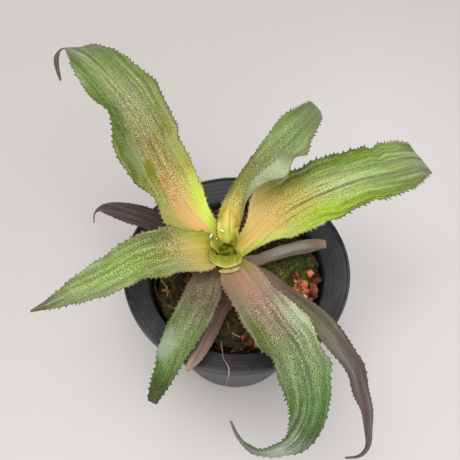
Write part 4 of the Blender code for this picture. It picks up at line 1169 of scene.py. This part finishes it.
def moss_blades(upper):
    """Tiny leaflets on the moss: each a bent sliver with four corners and a keel."""
    n = np.arange(1500.0)
    row = np.sqrt(chance(n, 51.0)) * (upper.shape[0] - 1)
    at = upper[row.astype(int), (chance(n, 52.0) * upper.shape[1]).astype(int) % upper.shape[1]]
    way = 2.0 * np.pi * chance(n, 53.0)
    out = np.stack([np.cos(way), np.sin(way), 0.5 + 1.1 * chance(n, 54.0)], 1)
    out /= np.linalg.norm(out, axis=1)[:, None]
    side = np.stack([-np.sin(way), np.cos(way), 0 * way], 1)
    length = (0.5 + 0.9 * chance(n, 55.0))[:, None] * MM
    width = 0.16 * MM
    keel = np.cross(side, out)
    points = np.stack([
        at - 0.2 * length * out,
        at + 0.45 * length * out + width * side,
        at + 0.45 * length * out - width * side,
        at + 0.45 * length * out + 0.14 * MM * keel,
        at + length * out - 0.15 * length * keel,
    ], 1)
    tris = np.array([(0, 1, 3), (0, 3, 2), (0, 2, 1), (4, 3, 1), (4, 2, 3), (4, 1, 2)])
    faces = repeated((tris,), len(n), points.shape[1])
    shades = [(0.0, (44, 48, 18)), (0.5, (82, 92, 34)), (0.85, (126, 134, 58)), (1.0, (160, 158, 84))]
    marks = {"shade": np.repeat(chance(n, 56.0), points.shape[1])}
    piece("moss_leaflets", points, faces, crumb_paint("moss_leaflet", shades), "moss", marks=marks)


def on_plug(share, heading, above):
    """A place over the plug: share of its radius, heading, and height over the ground."""
    way = np.radians(heading)
    x, y = share * PLUG_RADIUS * np.cos(way), share * PLUG_RADIUS * np.sin(way)
    return (x, y, ground(x, y) + above)


def thread(name, places, radius, stops, slot, knots=0.0):
    """One round strand through the places, thinner towards its end and a little knotted."""
    path, length = blend(places, 120, 1.0 * MM)
    t = np.linspace(0.0, 1.0, 120)
    wobble = np.stack([cloud(t * 14.0, k, 0.0, k + 3.0) for k in (1.0, 2.0, 3.0)], 1) * knots * MM
    path = path + wobble * (np.sin(np.pi * t) ** 0.5)[:, None]
    thin = radius * (1.0 - 0.5 * t**2) * (1.0 + 0.18 * cloud(t * length / (1.5 * MM), 5.0))
    points, faces, _ = tubes(path[None], thin[None], 10)
    shade = 0.5 + 0.4 * np.concatenate([[0.0], np.repeat(cloud(t * 9.0, 2.0), 10), [0.0]])
    piece(name, points, faces, crumb_paint(name, stops, 0.6), slot, (name,), {"shade": shade})


def lay_threads():
    """The loose root over the lip, two straws and a twig."""
    lip = RIM_RADIUS + 0.75 * MM
    root = [
        on_plug(0.93, 259, 0.75 * MM),
        (-6.3 * MM, -(THROAT_RADIUS + 0.3 * COLLAR_WIDTH), THROAT_HEIGHT + 0.45 * COLLAR_DROP + 1.6 * MM),
        (-3.8 * MM, -(RIM_RADIUS - 0.5 * BEAD), POT_HEIGHT + 0.95 * MM),
        (-4.3 * MM, -(lip + 0.5 * MM), POT_HEIGHT - 4.0 * MM),
        (-4.9 * MM, -(lip + 0.3 * MM), POT_HEIGHT - 10.0 * MM),
        (-4.6 * MM, -(lip + 0.2 * MM), POT_HEIGHT - 16.0 * MM),
    ]
    pale = [(0.0, (112, 92, 78)), (0.5, (152, 132, 116)), (1.0, (190, 172, 156))]
    thread("loose_root", root, 0.28 * MM, pale, "pale_root", 0.35)
    gold = [(0.0, (120, 86, 44)), (0.5, (176, 138, 76)), (1.0, (214, 184, 122))]
    dull = [(0.0, (62, 44, 26)), (0.5, (98, 72, 44)), (1.0, (140, 110, 72))]
    lie = 0.75 * MM
    left = [on_plug(0.93, 188, lie), on_plug(0.88, 193, lie + 0.5 * MM), on_plug(0.9, 204, lie)]
    thread("straw_left", left, 0.42 * MM, gold, "straw", 0.2)
    front = [on_plug(0.6, 255, lie), on_plug(0.75, 262, lie + 0.5 * MM), on_plug(0.9, 268, lie)]
    thread("straw_front", front, 0.36 * MM, dull, "straw", 0.2)
    rust = [(0.0, (96, 50, 26)), (0.5, (158, 92, 52)), (1.0, (196, 134, 88))]
    twig = [on_plug(0.58, 322, lie), on_plug(0.64, 328, lie + 0.4 * MM), on_plug(0.73, 331, lie)]
    thread("twig", twig, 0.55 * MM, rust, "bark", 0.25)


# ---------------------------------------------------------------- stem, water and bark bits

def make_stem():
    """A short stem: rings of a tapering radius, pinched at each leaf scar."""
    steps = 48
    turn = np.arange(steps) * 2.0 * np.pi / steps
    bottom = PLUG_TOP - 9.7 * MM
    z = np.linspace(bottom + 0.3 * MM, STEM_TOP - 0.4 * MM, 90)[:, None]
    taper = 1.0 - 0.4 * smoothstep((z - STEM_TOP + 3.0 * MM) / (3.0 * MM))
    scars = 0.12 * MM * np.sin(z / (0.55 * MM) + 0.8 * np.sin(turn))
    radius = STEM_RADIUS * taper - 0.12 * MM + scars
    rings = np.stack([CROWN[0] + radius * np.cos(turn), CROWN[1] + radius * np.sin(turn), z + 0 * radius], -1)
    paint = Paint("stem_tissue")
    place = paint.place()
    grain = paint.noise(paint.stretch(place, (1.0, 1.0, 0.4)), 600.0, 3.0, 0.6)
    height = paint.make("ShaderNodeSeparateXYZ", None, {0: place}, "Z")
    colour = paint.mix(tint(96, 72, 44), tint(112, 118, 14), height.step(POT_HEIGHT, STEM_TOP))
    # The dark mottle is the stem's own grain; its strengthening towards the top is painted shade in the
    # hollow of the heart.
    top = height.step(STEM_TOP - 4.0 * MM, STEM_TOP - 1.0 * MM)
    colour = paint.mix(colour, tint(34, 32, 8), grain.step(0.42, 0.6) * (0.35 + 0.45 * top))
    material = paint.finish(colour, 0.75 + 0.2 * grain, grain, 0.0006, 0.8, Specular_IOR_Level=0.2)
    poles = [(*CROWN, bottom), (*CROWN, STEM_TOP - 0.1 * MM)]
    turned_piece("stem", rings, poles, material, "stem_tissue", stands_for=("stem",))


def lay_water():
    """Three beads in the heart, painted near white for the glints of light in them, and a pool under its
    front edge.

    Each is a low dome, round to long, over a shallower one facing back. At share s of its reach a
    dome stands at its height times sqrt(1 - s squared).
    """
    finishes = {}
    # Painted highlight: the beads are coloured near white for their glints.
    for kind, thin, thick in (
        ("water", (250, 250, 244), (226, 228, 206)), ("pool", (198, 180, 128), (160, 142, 88)),
    ):
        paint = Paint(kind)
        ripple = paint.noise(paint.place(), 260.0, 2.0, 0.5).step(0.35, 0.65)
        colour = paint.mix(tint(*thick), tint(*thin), ripple)
        finishes[kind] = paint.finish(colour, 0.03 + 0.05 * ripple, None, IOR=1.33)
    # place, half length, half width, height, turn and lean, in millimetres and degrees
    drops = {
        "water_bead_left": ((-12.5, 4.2, 103.1), 1.2, 0.42, 0.5, 62, 25),
        "water_bead_back": ((-7.6, 6.6, 104.5), 1.6, 0.42, 0.5, -30, 40),
        "water_bead_low": ((-9.8, 3.6, 101.6), 0.4, 0.36, 0.4, 0, 25),
        "water_hanging": ((-3.4, -11.6, 97.3), 5.4, 1.8, 1.1, 16, -14),
    }
    steps = 40
    angle = np.arange(steps) * 2.0 * np.pi / steps
    share = np.sin(np.linspace(0.02, 0.5, 16) * np.pi)[:, None]
    for name, (place, length, width, height, turn, lean) in drops.items():
        x = length * share * np.cos(angle)
        y = width * share * np.sin(angle) + 0.12 * x**2 / length
        rise = np.sqrt(np.clip(1.0 - share**2, 0.0, 1.0)) + 0 * x
        dome = np.stack([x, y, height * rise], -1)
        back = np.stack([x, y, -0.35 * height * rise], -1)
        rings = np.concatenate([back, dome[-2::-1]])
        spin, tip = np.radians(turn), np.radians(lean)
        flat = np.array([[np.cos(spin), np.sin(spin), 0], [-np.sin(spin), np.cos(spin), 0], [0, 0, 1]])
        bent = np.array([[1, 0, 0], [0, np.cos(tip), np.sin(tip)], [0, -np.sin(tip), np.cos(tip)]])
        turned = (rings @ flat @ bent + np.array(place)) * MM
        ends = np.array([(0, 0, -0.35 * height), (0, 0, height)])
        ends = (ends @ flat @ bent + np.array(place)) * MM
        finish = finishes["pool" if name == "water_hanging" else "water"]
        turned_piece(name, turned, ends, finish, None)


def lay_bark_bits():
    """Broken bark among the chips: knobbly lumps in two drifts on the right and front of the plug."""
    n = np.arange(150.0)
    front = chance(n, 61.0) < 0.35
    heading = np.radians(np.where(front, 274.0 + 28.0 * chance(n, 62.0), 318.0 + 40.0 * chance(n, 63.0)))
    share = np.where(front, 0.87 + 0.11 * chance(n, 64.0), 0.66 + 0.32 * chance(n, 65.0))
    x, y = share * PLUG_RADIUS * np.cos(heading), share * PLUG_RADIUS * np.sin(heading)
    size = (0.8 + 1.5 * chance(n, 66.0) ** 1.5) * np.where(front, 0.75, 1.0)
    axes = (0.8 + 0.7 * chance(n, 68.0), 0.6 + 0.4 * chance(n, 69.0), 0.6 + 0.35 * chance(n, 70.0))
    shape, faces = bits(n, size * MM, np.stack(axes, 1), 0.5, 67.0, chance(n, 71.0), 5, 9)
    rise = (0.4 + 1.2 * chance(n, 72.0)) * size * MM
    points = shape + np.stack([x, y, ground(x, y) + rise], 1)[:, None]
    rust = [
        (0.0, (46, 24, 14)), (0.3, (92, 46, 26)), (0.6, (152, 84, 50)), (0.85, (192, 118, 76)),
        (1.0, (222, 166, 122)),
    ]
    # Painted shade: the drift at the front of the plug is drawn darker.
    marks = {"shade": np.repeat(chance(n, 73.0) * np.where(front, 0.7, 1.0), shape.shape[1])}
    piece("bark_bits", points, faces, crumb_paint("bark_bits", rust), "bark", marks=marks)


make_pot()
make_medium()
make_stem()
scatter_crumbs()
lay_fibres()
moss_top = lump("moss_cushion", 0, 96, 0.7, 1.6, moss_paint(), "moss")
moss_blades(moss_top)
bark = bark_paint()
for number in range(1, 7):
    lump(f"bark_chip_{number}", number, 48, 0.45, 1.5, bark, "bark")
lay_threads()
grow_leaves()
lay_bark_bits()
lay_water()


# ---------------------------------------------------------------- floor, light and camera

def floor_paint():
    """A pale matt surface with faint clouding, and painted shade of the light's falloff: a little darker to
    the right and behind on the left.
    """
    paint = Paint("floor")
    place = paint.place()
    clouding = paint.noise(place, 5.0, 3.0, 0.5)
    split = paint.make("ShaderNodeSeparateXYZ", None, {0: place})
    # Painted shade: falloff of the light, darker behind on the left and to the right.
    far = (split.out("Y") - split.out("X")).step(0.0, 0.32) + 0.7 * split.step(0.1, 0.26)
    colour = paint.mix(tint(200, 196, 195), tint(205, 202, 201), clouding)
    colour = paint.mix(colour, tint(190, 185, 182), far * 0.8)
    return paint.finish(colour, 0.8, None)


corners = np.array([(-2.5, -2.5, 0), (2.5, -2.5, 0), (2.5, 2.5, 0), (-2.5, 2.5, 0)], float)
floor_mesh = bpy.data.meshes.new("floor")
floor_mesh.from_pydata(corners.tolist(), [], [(0, 1, 2, 3)])
floor_mesh.materials.append(floor_paint())
floor = bpy.data.objects.new("floor", floor_mesh)
bpy.context.scene.collection.objects.link(floor)


def lamp(name, place, aim, size, power, colour=(1.0, 1.0, 1.0)):
    """A square soft light turned towards a place."""
    light = bpy.data.lights.new(name, "AREA")
    light.size = size
    light.energy = power
    light.color = colour
    made = bpy.data.objects.new(name, light)
    way = np.array(place, float) - np.array(aim, float)
    flat = float(np.hypot(way[0], way[1]))
    made.location = place
    lean, turn = float(np.arctan2(flat, way[2])), float(np.arctan2(way[1], way[0]) + np.pi / 2)
    made.rotation_euler = (lean, 0.0, turn)
    bpy.context.scene.collection.objects.link(made)


scene = bpy.context.scene
world = bpy.data.worlds.new("soft_light")
world.use_nodes = True
world.node_tree.nodes["Background"].inputs["Color"].default_value = (1.0, 0.985, 0.97, 1.0)
world.node_tree.nodes["Background"].inputs["Strength"].default_value = 0.63
scene.world = world
lamp("window", (-0.2, -0.15, 1.9), (0.0, 0.0, 0.08), 1.2, 18.5, (1.0, 0.99, 0.97))
lamp("fill", (0.4, -1.0, 1.4), (0.0, 0.0, 0.08), 1.2, 11.0)

camera = bpy.data.cameras.new("camera")
camera.sensor_width = 36.0
camera.lens = 39.7
camera.clip_start = 0.01
camera_object = bpy.data.objects.new("camera", camera)
camera_object.location = (-0.0033, -0.1345, 0.3062)
camera_object.rotation_euler = (np.radians(35.0), 0.0, 0.0)
scene.collection.objects.link(camera_object)
scene.camera = camera_object
scene.view_settings.view_transform = "Standard"
